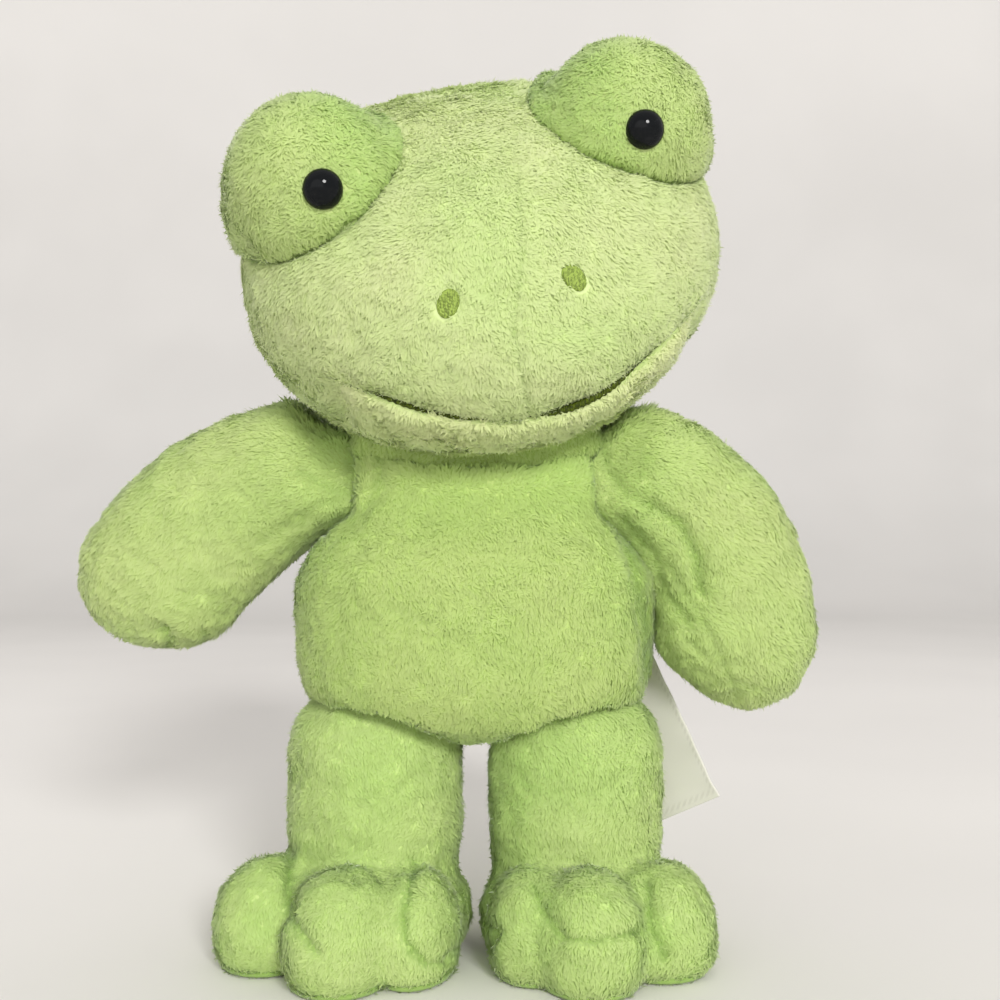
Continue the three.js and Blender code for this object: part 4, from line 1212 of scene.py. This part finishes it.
class FROG_OT_head(bpy.types.Operator):
    """Builds the head with its lower jaw panel"""
    bl_idname = "frog.head"
    bl_label = "Head and jaw"

    def execute(self, context):
        look = context.scene.frog_plush
        seed = SEEDS["head"]
        local = standing(head_shape, -HEAD_HEIGHT / 2, HEAD_HEIGHT, HEAD_POWER, *GRIDS["head"])
        world, outward = on_head(local), grid_normals(local) @ HEAD_TURNED.T

        def depth(points, normals):
            return fold_depth(points, normals, HEAD_FOLDS) + seam_depth(mound_level(in_head(points)))
        sunk = depth(world, outward) + mouth_groove(local, world)
        part = partings(world, seed) * face_rough(world)
        recess = jaw_share(local) * JAW_CLOTH
        shaped = world + outward * (nap(world, seed) - sunk - recess - 0.6 * part)[..., None]
        shaped[0], shaped[-1] = world[0], world[-1]
        backing, fur_finish = plush_pair("head", look.head_tone, look.tip_tone)
        piece = put_rings("head_plush", shaped, backing)
        # Painted shade along the creases, seams, mouth groove and partings.
        paint(piece, "fold", flat_rows(sunk + part))
        # The richer, darker green: mostly painted shade, partly brushed-up pile.
        paint(piece, "deep", flat_rows(richer("head")(world)))
        declare(piece, "head", ("head_cover", "head_filling"))
        self.jaw(look)

        def weight(points, normals):
            """No blade grows on the mouth's thread, in a nostril, under a mound or where the jaw
            panel lies, but its corners are covered."""
            q = in_head(points)
            above = q[:, 2] - mouth_height(q[:, 0])
            bare = (np.abs(above) < 2.6 * mouth_seen(on_photo(points)[:, 0])) & (q[:, 1] < 0)
            keep = (jaw_share(q) < 0.75) & ~bare
            corner = np.abs(q[:, 0]) * 2 / MOUTH_WIDTH > 0.7
            keep |= corner & (jaw_share(q) < 0.9) & (q[:, 1] < -JAW_BACK)
            return np.where(keep & ~in_mounds(q, room=-3.0) & ~in_nostrils(q), 1.0, 0.0)

        def behind(points):
            return in_head(points)[:, 1] >= 4
        for i, (end, part) in enumerate(zip(("front", "back"), halved(weight, behind))):
            fur = pile(f"head_pile_{end}", piece, PILE_COUNTS[f"head_{end}"], seed + 1 + i, head_lay,
                       fur_finish, part, depth, seed, face_rough, deep=richer("head"))
            declare(fur, "head")
        return {"FINISHED"}

    def jaw(self, look):
        """The jaw panel: a strip of rows from the mouth line round under the chin, with a
        front face a little proud of the head and a back face a cloth's thickness inside."""
        (columns, rows), seed = GRIDS["jaw"], SEEDS["jaw"]
        along = np.linspace(-1, 1, columns) * (MOUTH_WIDTH / 2 + 1.5)
        down = np.linspace(0, 1, rows)
        top = mouth_height(along)
        chin = np.clip(1 - (np.abs(along) / JAW_REACH) ** JAW_POWER, 0.04, 1)
        low = np.minimum(-HEAD_HEIGHT / 2 * JAW_DROP * np.sqrt(chin), top - 2)
        z = top[:, None] + (low - top)[:, None] * down
        x = np.broadcast_to(along[:, None], z.shape)
        y = np.minimum(head_front(x, z), -JAW_BACK)
        front = np.stack([x, y, z], -1)
        world, outward = on_head(front), head_outward(front) @ HEAD_TURNED.T
        inner = 1 - ease((np.abs(x) * 2 / MOUTH_WIDTH - 0.56) / 0.25)
        proud = 1.6 * (np.sin(np.pi * down) ** 0.6)[None] * inner - 5.5 * mouth_corner(x)
        proud = proud - 3.5 * ease((y + JAW_BACK + 9) / 8)
        lip = 1.2 * np.exp(-(down / 0.08) ** 2)[None] * inner
        lift = proud + nap(world, seed, 1.4) - 0.8 * partings(world, seed) - lip
        face, back = world + outward * lift[..., None], world - outward * JAW_CLOTH
        ring = np.concatenate([face, back[:, ::-1]], 1)
        ends = ring.mean(1, keepdims=True).repeat(ring.shape[1], 1)
        # Painted light: the jaw panel's plush is a little paler than the head's, as if lit from below.
        lit_lip_tone = deeper(look.head_tone, 1.08, 1.04, 1.08)[:3]
        backing, fur_finish = plush_pair("jaw", lit_lip_tone, look.tip_tone)
        piece = put_rings("jaw_plush", np.concatenate([ends[:1], ring, ends[-1:]]), backing)
        # Painted shade only: the jaw's plush darkens towards the mouth line.
        sunk = np.concatenate([np.exp(-(down / 0.12) ** 2) * 2.4, np.zeros(rows)])
        paint(piece, "fold", np.concatenate([[0], np.tile(sunk, columns), [0]]))
        declare(piece, "head", ("jaw_panel",))

        def weight(points, normals):
            """Blades grow on the front face, under the mouth line and away from the corners."""
            q = in_head(points)
            outer = (normals * (head_outward(q) @ HEAD_TURNED.T)).sum(-1) > 0.2
            seen = (mouth_corner(q[:, 0]) < 0.35) & (q[:, 1] < -JAW_BACK - 3)
            return np.where(outer & seen & (mouth_height(q[:, 0]) - q[:, 2] > 0.3), 1.0, 0.0)
        fur = pile("jaw_pile", piece, PILE_COUNTS["jaw"], seed + 1, head_lay, fur_finish, weight,
                   nap_seed=seed)
        declare(fur, "head")


def head_level(q):
    """About 0 on the head, under 0 inside and over 0 outside, in millimetres."""
    width, front, back = head_shape(np.clip(2 * q[..., 2] / HEAD_HEIGHT, -0.999, 0.999))
    depth = np.where(q[..., 1] < 0, front, back)
    level = (np.abs(q[..., 0]) / width) ** HEAD_POWER + (np.abs(q[..., 1]) / depth) ** HEAD_POWER
    return 62 * (level ** (1 / HEAD_POWER) - 1)


def mound_share(q, side, room=0.0):
    """The superellipsoid's sum of powers, which is 1 on a mound made larger by some room."""
    p = q - mound_middle(side)
    radius = np.hypot(p[..., 0], p[..., 2]) / (MOUND_RADIUS + room)
    return radius ** MOUND_POWER + (np.abs(p[..., 1]) / (MOUND_DEPTH + room)) ** MOUND_POWER


def mound_level(q):
    """The same for the nearer of the two mounds."""
    level = np.minimum(mound_share(q, "left"), mound_share(q, "right"))
    return 38 * (level ** (1 / MOUND_POWER) - 1)


def in_mounds(q, room):
    """Whether points are in a mound made larger by some room."""
    return (mound_share(q, "left", room) < 1) | (mound_share(q, "right", room) < 1)


def seam_depth(level):
    """A sewn line: a narrow valley where the level is about 0."""
    return 2.6 * np.exp(-(level / 1.5) ** 2)


def face_rough(points):
    """The pile is clumped on the muzzle's right half and round the mouth, and smooth elsewhere."""
    q = in_head(points)
    return 0.35 + 0.95 * ease((18 - q[..., 0]) / 60) * ease((24 - q[..., 2]) / 40)


def nostril_place(q, side):
    """Place on a nostril's own axes, as shares of its half width and half height."""
    x = q[..., 0] - NOSTRIL_SHIFT - SIDES[side] * NOSTRIL_SPREAD / 2
    z = q[..., 2] + NOSTRIL_DROP
    a = math.radians(SIDES[side] * NOSTRIL_SLANT)
    return ((x * math.cos(a) + z * math.sin(a)) / (NOSTRIL_WIDTH / 2),
            (z * math.cos(a) - x * math.sin(a)) / (NOSTRIL_HEIGHT / 2))


def in_nostrils(q):
    """Whether points are in front of a nostril, in an oval that is fuller above."""
    found = np.zeros(q.shape[:-1], bool)
    for side in SIDES:
        across, up = nostril_place(q, side)
        found |= (across ** 2 + (up * np.where(up > 0, 0.8, 0.95)) ** 2 < 1.15) & (q[..., 1] < 0)
    return found


class FROG_OT_mounds(bpy.types.Operator):
    """Builds the two eye mounds"""
    bl_idname = "frog.mounds"
    bl_label = "Eye mounds"

    def execute(self, context):
        look = context.scene.frog_plush
        backing, fur_finish = plush_pair("mound", look.mound_tone, look.tip_tone)
        rows, columns = GRIDS["mound"]
        v = np.linspace(-np.pi / 2, np.pi / 2, rows)
        radius = MOUND_RADIUS * np.abs(np.cos(v)) ** (2 / MOUND_POWER)
        radius[[0, -1]] = 0
        reach = MOUND_DEPTH * signed_power(np.sin(v), 2 / MOUND_POWER)

        def depth(points, normals):
            return seam_depth(head_level(in_head(points)))
        for side, sign in SIDES.items():
            middle, seed = mound_middle(side), SEEDS["mound"] + sign
            local = lathe(radius, -reach, columns)[..., [0, 2, 1]] + middle
            rise = 0.7 * (local[..., 2] - middle[2]) - 0.7 * sign * (local[..., 0] - middle[0])
            inner = np.clip(rise / MOUND_RADIUS, 0, 1)
            flare = 1 + (0.07 + 0.10 * inner) * np.exp(-(head_level(local) / 10) ** 2)
            local[..., ::2] = middle[::2] + (local[..., ::2] - middle[::2]) * flare[..., None]
            piece = plush_skin(f"mound_plush_{side}", on_head(local), depth, backing, seed)
            declare(piece, "head", (f"eye_mound_{side}",))

            def weight(points, normals):
                """No blade grows under the eye or inside the head."""
                q = in_head(points)
                eye = (q - middle) @ eye_matrix(side)
                seat = (np.hypot(eye[:, 0], eye[:, 1]) < EYE_DIAMETER / 2 - 0.2) & (eye[:, 2] > 0)
                return np.where(seat | inside_head(points, room=-3), 0.0, 1.0)

            def deep(points):
                """Richer and darker towards the middle of the face: painted shade on the mound's inner
                side.
                """
                return ease((10 - sign * (in_head(points) - middle)[:, 0]) / 26)

            def lay(points):
                """Down, and away from the mound's middle."""
                q = in_head(points) - middle
                away = np.stack([q[:, 0] * 0.02, np.full(len(q), 0.1), q[:, 2] * 0.01 - 0.35], -1)
                return away @ HEAD_TURNED.T
            fur = pile(f"mound_pile_{side}", piece, PILE_COUNTS["mound"], seed + 2, lay, fur_finish,
                       weight, depth, seed, deep=deep)
            declare(fur, "head")
        return {"FINISHED"}


class FROG_OT_eyes(bpy.types.Operator):
    """Builds the safety eyes and gives their washers a finish"""
    bl_idname = "frog.eyes"
    bl_label = "Eyes"

    def execute(self, context):
        """A dome on a short straight rim, seated in the mound's surface."""
        gloss = eye_finish("eye_gloss")
        base = eye_reach() - EYE_SEAT + 0.3
        t = np.linspace(0, np.pi / 2, 24)
        half = EYE_DIAMETER / 2
        radius = np.concatenate([[0, half - 0.5, half], half * np.cos(t)])
        radius[-1] = 0
        dome = base + 1 + (EYE_HEIGHT - 1) * np.sin(t)
        height = np.concatenate([[base - 0.6, base - 0.6, base + 0.1], dome])
        local = lathe(radius, height, EYE_COLUMNS)
        for side in SIDES:
            grid = on_head(placed(local, eye_matrix(side), mound_middle(side)))
            piece = put_rings(f"eye_dome_{side}", grid, gloss)
            declare(piece, "head", (f"eye_{side}",))
            dress(f"eye_washer_{side}", moulded_finish(f"washer_white_{side}", (0.80, 0.80, 0.76)))
        return {"FINISHED"}


def dress(node, material):
    """Gives a CAD node that stays a finish of its own."""
    for slot in frame["nodes"][node].material_slots:
        slot.material = material


def tube(path, radius, up, segments):
    """A tube round a path: a circle across it at each point, closed to a point at both ends."""
    along = unit(np.gradient(path, axis=0))
    side = unit(np.cross(along, up))
    over = np.cross(side, along)
    angle = around(segments)[:, None]
    ring = side[:, None] * np.cos(angle) + over[:, None] * np.sin(angle)
    grid = path[:, None] + ring * radius[:, None, None]
    start, end = (path[i, None, None].repeat(segments, 1) for i in (0, -1))
    return np.concatenate([start, grid, end])


class FROG_OT_embroidery(bpy.types.Operator):
    """Sews the mouth line and the two nostrils"""
    bl_idname = "frog.embroidery"
    bl_label = "Mouth and nostrils"

    def execute(self, context):
        trim = context.scene.frog_trim
        satin = thread_finish("satin_olive", trim.thread_tone, opaque(trim.thread_tone, 0.45))
        x = np.linspace(-MOUTH_WIDTH / 2, MOUTH_WIDTH / 2, 600) * 0.985
        z = mouth_height(x)
        local = np.stack([x, head_front(x, z), z], -1)
        out = head_outward(local)
        seen = mouth_seen(on_photo(on_head(local))[:, 0])
        twist = 1 + 0.16 * np.sin(x * 2.6)
        radius = trim.mouth_width * 500 * (0.45 + 0.85 * seen) * twist
        path = on_head(local - out * (2.1 - 1.7 * seen)[:, None])
        olive = thread_finish("mouth_olive", (0.085, 0.12, 0.004), (0.02, 0.03, 0.001))
        piece = put_rings("mouth_stitch", tube(path, radius, out @ HEAD_TURNED.T, 12), olive)
        declare(piece, "head", ("mouth_thread",))
        for side in SIDES:
            self.nostril(side, satin)
        return {"FINISHED"}

    def nostril(self, side, satin):
        """Satin stitches: an oval cushion with ridges across it and a raised edge."""
        rows, columns = GRIDS["nostril"]
        ring = np.concatenate([np.linspace(0, 1.0, rows), [1.0]])[:, None]
        across, up = ring * np.cos(around(columns)), ring * np.sin(around(columns))
        a = math.radians(SIDES[side] * NOSTRIL_SLANT)
        px, pz = across * NOSTRIL_WIDTH / 2, up * NOSTRIL_HEIGHT / 2
        x = NOSTRIL_SHIFT + SIDES[side] * NOSTRIL_SPREAD / 2 + px * math.cos(a) - pz * math.sin(a)
        z = -NOSTRIL_DROP + px * math.sin(a) + pz * math.cos(a)
        ridge = 0.14 * np.sin(up * 30 + across * 1.5)
        rise = (1.5 + ridge - 0.9 * ring ** 3) + 0.35 * np.exp(-((ring - 0.86) / 0.08) ** 2)
        rise[-1] = -2.0
        local = np.stack([x, head_front(x, z) - rise, z], -1)
        inside = local[-1:].mean(1, keepdims=True).repeat(columns, 1)
        piece = put_rings(f"nostril_stitch_{side}", on_head(np.concatenate([local, inside])), satin)
        declare(piece, "head", (f"nostril_{side}",))


class FROG_OT_arms(bpy.types.Operator):
    """Builds the two arms"""
    bl_idname = "frog.arms"
    bl_label = "Arms"

    def execute(self, context):
        look = context.scene.frog_plush
        backing, fur_finish = plush_pair("arm", look.arm_tone, look.tip_tone)
        for side, sign in SIDES.items():
            body, seed = f"arm_{side}", SEEDS["arm"] + sign
            grid = arm_grid(side, *GRIDS["arm"])
            inward = unit((SHOULDER - grid) * (0, 1, 1))
            grid = eased_clear(grid, lambda p: inside_moving_head(p, 0.5, ARM_SWINGS), inward,
                               reach=26)
            depth = creased(ARM_FOLDS[side])
            piece = plush_skin(f"arm_plush_{side}", grid, depth, backing, seed, 1.1)
            declare(piece, body, (f"arm_cover_{side}", f"arm_filling_{side}"))

            def weight(points, normals):
                """No blade grows on the root in the body or inside the head."""
                root = sign * points[:, 0] < ARM_PILE_START
                return np.where(root | inside_head(points, room=-2), 0.0, 1.0)

            def lay(points):
                """Away from the shoulder, and down farther out."""
                way = points - SHOULDER * (sign, 1, 1) + np.array((sign * 12, 0, 10.0))
                return unit(way) + 0.012 * (points[:, :1] * sign - 60) * np.array((0, 0, -1.0))

            def near(points):
                return inside_head(points, room=9)
            fur = pile(f"arm_pile_{side}", piece, PILE_COUNTS["arm"], seed + 3, lay, fur_finish,
                       weight, depth, seed, deep=richer(body), near=near)
            declare(fur, body)
        return {"FINISHED"}


class FROG_OT_legs(bpy.types.Operator):
    """Builds the two legs with their toed feet"""
    bl_idname = "frog.legs"
    bl_label = "Legs and feet"

    def execute(self, context):
        """The leg and the pads of the foot are joined into one skin and smoothed, then raised by
        clumps and sunk along their creases."""
        look = context.scene.frog_plush
        backing, fur_finish = plush_pair("leg", look.leg_tone, look.tip_tone)
        for side, sign in SIDES.items():
            body, seed = f"leg_{side}", SEEDS["leg"] + sign
            pads = [pad_grid(part, *GRIDS["pad"], SOLE_ROOM) for part in foot_parts(side)]
            grids = [leg_grid(side, *GRIDS["leg"])] + [foot_place(pad, side) for pad in pads]
            piece = put_joined(f"leg_plush_{side}", grids, backing)
            remesh = piece.modifiers.new("one skin", "REMESH")
            remesh.mode, remesh.voxel_size, remesh.use_smooth_shade = "VOXEL", LEG_VOXEL, True
            smooth = piece.modifiers.new("soft creases", "SMOOTH")
            smooth.factor, smooth.iterations = 0.5, 36
            finished(piece)
            depth = creased(FOOT_FOLDS[side])
            points, normals = vertex_arrays(piece)
            sunk, part = depth(points, normals), partings(points, seed)
            rest = ease((points[:, 2] - 1.5) / 4)
            points = points + normals * ((nap(points, seed, 1.1) - sunk - 0.6 * part) * rest)[:, None]
            points[:, 2] = np.maximum(points[:, 2], 1.0)
            set_vertices(piece, points)
            # Painted shade along the creases and partings.
            paint(piece, "fold", sunk + part)
            declare(piece, body, (f"leg_cover_{side}", f"leg_filling_{side}"))

            def weight(points, normals):
                """No blade grows on the underside or high in the body."""
                buried = (points[:, 2] < 1.3) | (points[:, 2] > LEG_PILE_TOP)
                return np.where(buried, 0.0, 1.0)

            def lay(points):
                """Down, and forward on the foot."""
                foot = 1 - ease((points[:, 2] - 30) / 25)
                return np.stack([np.zeros(len(points)), -0.9 * foot, -1 + 0.35 * foot], -1)
            fur = pile(f"leg_pile_{side}", piece, PILE_COUNTS["leg"], seed + 3, lay, fur_finish,
                       weight, depth, seed, floor=0.3, deep=richer(body))
            declare(fur, body)
        return {"FINISHED"}


class FROG_OT_soles(bpy.types.Operator):
    """Builds the flat soles"""
    bl_idname = "frog.soles"
    bl_label = "Soles"

    def execute(self, context):
        """Rings out to the rim of the underside, up its edge and back in on the upper face."""
        look = context.scene.frog_plush
        # Painted shade: the soles are darker than the legs.
        tone = tuple(c * 0.86 for c in look.leg_tone)
        backing, fur_finish = plush_pair("sole", tone, tone)
        angle = around(SOLE_COLUMNS)
        ring = np.concatenate([np.linspace(0, 0.965, 60), [0.985, 1.0, 1.0, 0.985, 0.6, 0.0]])
        height = np.concatenate([np.zeros(60), [0.25, 0.9, 2.4, 3.1, 3.2, 3.2]])
        edge = np.exp(-((ring - 0.93) / 0.012) ** 2) * (height < 0.1)
        stitches = 0.5 * edge[:, None] * (0.6 + 0.4 * np.sin(angle * 90))
        z = 0.9 + np.maximum(height[:, None] - 0.9, 0) + stitches
        # Painted shade along the sole's rim and up its edge, with the dark sewn line near the rim.
        rim = 2.2 * edge + 1.4 * (ring > 0.97) + 1.4 * (height > 0.8)

        def weight(points, normals):
            return np.where(normals[:, 2] < -0.7, 1.0, 0.0)

        def lay(points):
            return np.broadcast_to((0, 1.0, 0), points.shape)
        for side, sign in SIDES.items():
            body, seed = f"leg_{side}", SEEDS["sole"] + sign
            reach = sole_reach(side, angle)
            reach = (reach + np.roll(reach, 1) + np.roll(reach, -1)) / 3
            x, y = ring[:, None] * reach * np.cos(angle), ring[:, None] * reach * np.sin(angle)
            grid = foot_place(np.stack([x, y, z], -1), side)
            grid[1:-1, :, :2] += (noise_vector(grid[1:-1], 2.4, seed) * 0.25)[..., :2]
            piece = put_rings(f"sole_plush_{side}", grid, backing)
            paint(piece, "fold", flat_rows(np.broadcast_to(rim[:, None], x.shape)))
            declare(piece, body, (f"sole_{side}",))
            fur = pile(f"sole_pile_{side}", piece, PILE_COUNTS["sole"], seed + 3, lay, fur_finish,
                       weight, floor=0.1)
            declare(fur, body)
        return {"FINISHED"}


def body_back(x, z):
    """How far back the body's surface is at a place seen from behind."""
    v = 2 * (z - BODY_BOTTOM) / BODY_HEIGHT - 1
    width, _, back = body_shape(v)
    out = np.clip(np.abs(x) / width, 0, 1) ** (BODY_POWER / 2)
    return back * np.sqrt(1 - out * out) ** (2 / BODY_POWER)


class FROG_OT_closing_seam(bpy.types.Operator):
    """Sews the ladder stitches that close the back"""
    bl_idname = "frog.closing_seam"
    bl_label = "Closing seam"

    def execute(self, context):
        """Short level stitches over one thread that runs up the seam."""
        grids = []
        for i in range(STITCHES):
            x = np.linspace(-0.5, 0.5, 14) * STITCH_LENGTH
            z = np.full(14, STITCH_START + i * STITCH_PITCH) + 0.5 * np.sin(x + i)
            sink = 1.6 * (2 * x / STITCH_LENGTH) ** 2
            path = np.stack([x, body_back(x, z) + 1.1 - sink, z], -1)
            grids.append(tube(path, np.full(14, 0.75), np.array((0, 0.2, 1.0)), 10))
        z = np.linspace(STITCH_START - 3, STITCH_START + (STITCHES - 1) * STITCH_PITCH + 3, 90)
        x = 0.35 * np.sin(z * 0.9)
        path = np.stack([x, body_back(x, z) - 0.1, z], -1)
        grids.append(tube(path, 0.7 + 0.12 * np.sin(z * 3), np.array((0, 1.0, 0)), 10))
        olive = thread_finish("closing_olive", (0.30, 0.42, 0.11), (0.12, 0.19, 0.035))
        piece = put_joined("closing_stitches", grids, olive)
        declare(piece, "body", ("closing_seam",))
        return {"FINISHED"}


class FROG_OT_label(bpy.types.Operator):
    """Builds the bare care label"""
    bl_idname = "frog.label"
    bl_label = "Care label"

    def execute(self, context):
        """A strip that hangs from the side seam and sways a little. A step down is the root of
        the squared step along the cloth less the squared sway; the edges and the foot curl."""
        trim = context.scene.frog_trim
        width, length = LABEL_SIZE
        rows, columns = GRIDS["label"]
        s = np.linspace(-0.5, 0.5, columns)
        t = np.linspace(0, 1, rows)
        swing = 2.2 * np.sin(t * np.pi * 1.1) * t + 3.0 * ease((t - 0.8) / 0.2) ** 2
        step, rise = np.gradient(t * length), np.gradient(swing)
        down = np.cumsum(np.sqrt(np.clip(step ** 2 - rise ** 2, 0, None)))
        curl = 0.3 * np.sin(t * 26)[:, None] * (np.abs(s) * 2) ** 4
        y = swing[:, None] + 0.7 * np.sin(s * 5)[None] * t[:, None] + curl
        local = np.stack(np.broadcast_arrays(s * width, y, -(down - down[0])[:, None]), -1)
        grid = placed(local, turn("z", -LABEL_TURN) @ turn("y", -LABEL_SLANT), LABEL_PLACE)
        piece = put_sheet("label_tape", grid, woven_finish("label_weave", trim.label_tone), -1)
        rim = np.maximum(np.abs(s * width) / (width / 2), np.abs(2 * t - 1)[:, None])
        paint(piece, "across", rim.ravel())
        paint(piece, "along", (t[:, None] + s[None] * 0.5).ravel())
        solid = piece.modifiers.new("cloth", "SOLIDIFY")
        solid.thickness, solid.offset = 0.0006, 0.0
        declare(piece, "label", ("care_label",))
        return {"FINISHED"}


def aimed(name, lamp, place, aim):
    """Puts a lamp at a place and turns it until its beam points at the aim."""
    body = bpy.data.objects.new(name, lamp)
    body.location = place
    x, y, z = np.array(aim, float) - np.array(place, float)
    body.rotation_euler = (math.atan2(math.hypot(x, y), -z), 0, math.atan2(-x, y))
    bpy.context.scene.collection.objects.link(body)


class FROG_OT_stage(bpy.types.Operator):
    """Sets the floor, backdrop, lamps and camera"""
    bl_idname = "frog.stage"
    bl_label = "Stage"

    def execute(self, context):
        """The floor runs back flat and turns up in a quarter circle into the backdrop."""
        trim = context.scene.frog_trim
        bend = np.linspace(0, np.pi / 2, 31)[1:]
        back, up = BEND_START + BEND_RADIUS * np.sin(bend), BEND_RADIUS - BEND_RADIUS * np.cos(bend)
        flat = np.stack([np.linspace(FLOOR_FRONT, BEND_START, 50), np.zeros(50)], -1)
        wall_up = np.linspace(WALL_FOOT, WALL_TOP, 20)
        wall = np.stack([np.full(20, BEND_START + BEND_RADIUS), wall_up], -1)
        line = np.concatenate([flat, np.stack([back, up], -1), wall])
        x = np.linspace(-FLOOR_HALF_WIDTH, FLOOR_HALF_WIDTH, 12)
        grid = np.stack(np.broadcast_arrays(x, line[:, :1], line[:, 1:]), -1) * 1000 - MIDDLE
        f = Finish("pale_floor")
        cloud = f.grade(f.noise(3.0, 2), 0.3, 0.7)
        place = f.add("ShaderNodeSeparateXYZ", None, {0: f.add("ShaderNodeTexCoord")["Object"]})
        # Painted light and shade: the near floor lighter and the far wall darker than the floor's tone.
        near, far, high = (f.mix(cloud, opaque(trim.floor_tone, low), opaque(trim.floor_tone, most))
                           for low, most in FLOOR_PAINTED_LIGHT)
        wall_tone = f.mix(f.grade(place["Z"], 0.5, 1.4), far, high)
        tone = f.mix(f.grade(place["Y"], 0.2, 2.2), near, wall_tone)
        floor = put_sheet("floor", grid, f.surface(Base_Color=tone, Roughness=0.9))
        self.light(trim)
        self.camera()
        return {"FINISHED"}

    def light(self, trim):
        """A soft even sky, a key lamp at the upper right and a weak wide one at the left."""
        world = bpy.data.worlds.new("soft_sky")
        world.use_nodes = True
        sky = world.node_tree.nodes["Background"]
        sky.inputs["Color"].default_value = SKY_TONE
        sky.inputs["Strength"].default_value = SKY_STRENGTH
        bpy.context.scene.world = world
        for name, (share, angle, place) in LAMPS.items():
            sun = bpy.data.lights.new(name, "SUN")
            sun.energy, sun.angle, sun.color = trim.key_strength * share, math.radians(angle), LAMP_TONE
            aimed(name, sun, place, LAMP_AIM)

    def camera(self):
        """At the photograph's distance and height, level, looking along +Y."""
        lens = bpy.data.cameras.new("camera")
        lens.lens = FOCAL * SENSOR_WIDTH / PHOTO_SIZE
        lens.sensor_width, lens.sensor_fit = SENSOR_WIDTH, "HORIZONTAL"
        lens.clip_start, lens.clip_end = 0.01, 50
        body = bpy.data.objects.new("camera", lens)
        body.location = (EYE_POINT + MIDDLE) / 1000
        body.rotation_euler = (math.pi / 2, 0, 0)
        bpy.context.scene.collection.objects.link(body)
        bpy.context.scene.camera = body
        bpy.context.scene.view_settings.view_transform = "Standard"


PIECES = (FROG_OT_body, FROG_OT_neck, FROG_OT_head, FROG_OT_mounds, FROG_OT_eyes, FROG_OT_embroidery,
          FROG_OT_arms, FROG_OT_legs, FROG_OT_soles, FROG_OT_closing_seam, FROG_OT_label, FROG_OT_stage)


class FROG_PT_pieces(bpy.types.Panel):
    """Lists the frog's pieces"""
    bl_idname = "FROG_PT_pieces"
    bl_label = "Plush frog"
    bl_space_type = "VIEW_3D"
    bl_region_type = "UI"
    bl_category = "Frog"

    def draw(self, context):
        for group in (context.scene.frog_plush, context.scene.frog_trim):
            for name in type(group).__annotations__:
                self.layout.prop(group, name)
        for piece in PIECES:
            self.layout.operator(piece.bl_idname)


CLASSES = (FrogPlush, FrogTrim, *PIECES, FROG_PT_pieces)


def register():
    for kind in CLASSES:
        bpy.utils.register_class(kind)
    bpy.types.Scene.frog_plush = bpy.props.PointerProperty(type=FrogPlush)
    bpy.types.Scene.frog_trim = bpy.props.PointerProperty(type=FrogTrim)


def unregister():
    del bpy.types.Scene.frog_trim, bpy.types.Scene.frog_plush
    for kind in reversed(CLASSES):
        bpy.utils.unregister_class(kind)


def main():
    register()
    for piece in PIECES:
        family, name = piece.bl_idname.split(".")
        getattr(getattr(bpy.ops, family), name)()


if __name__ == "__main__":
    main()
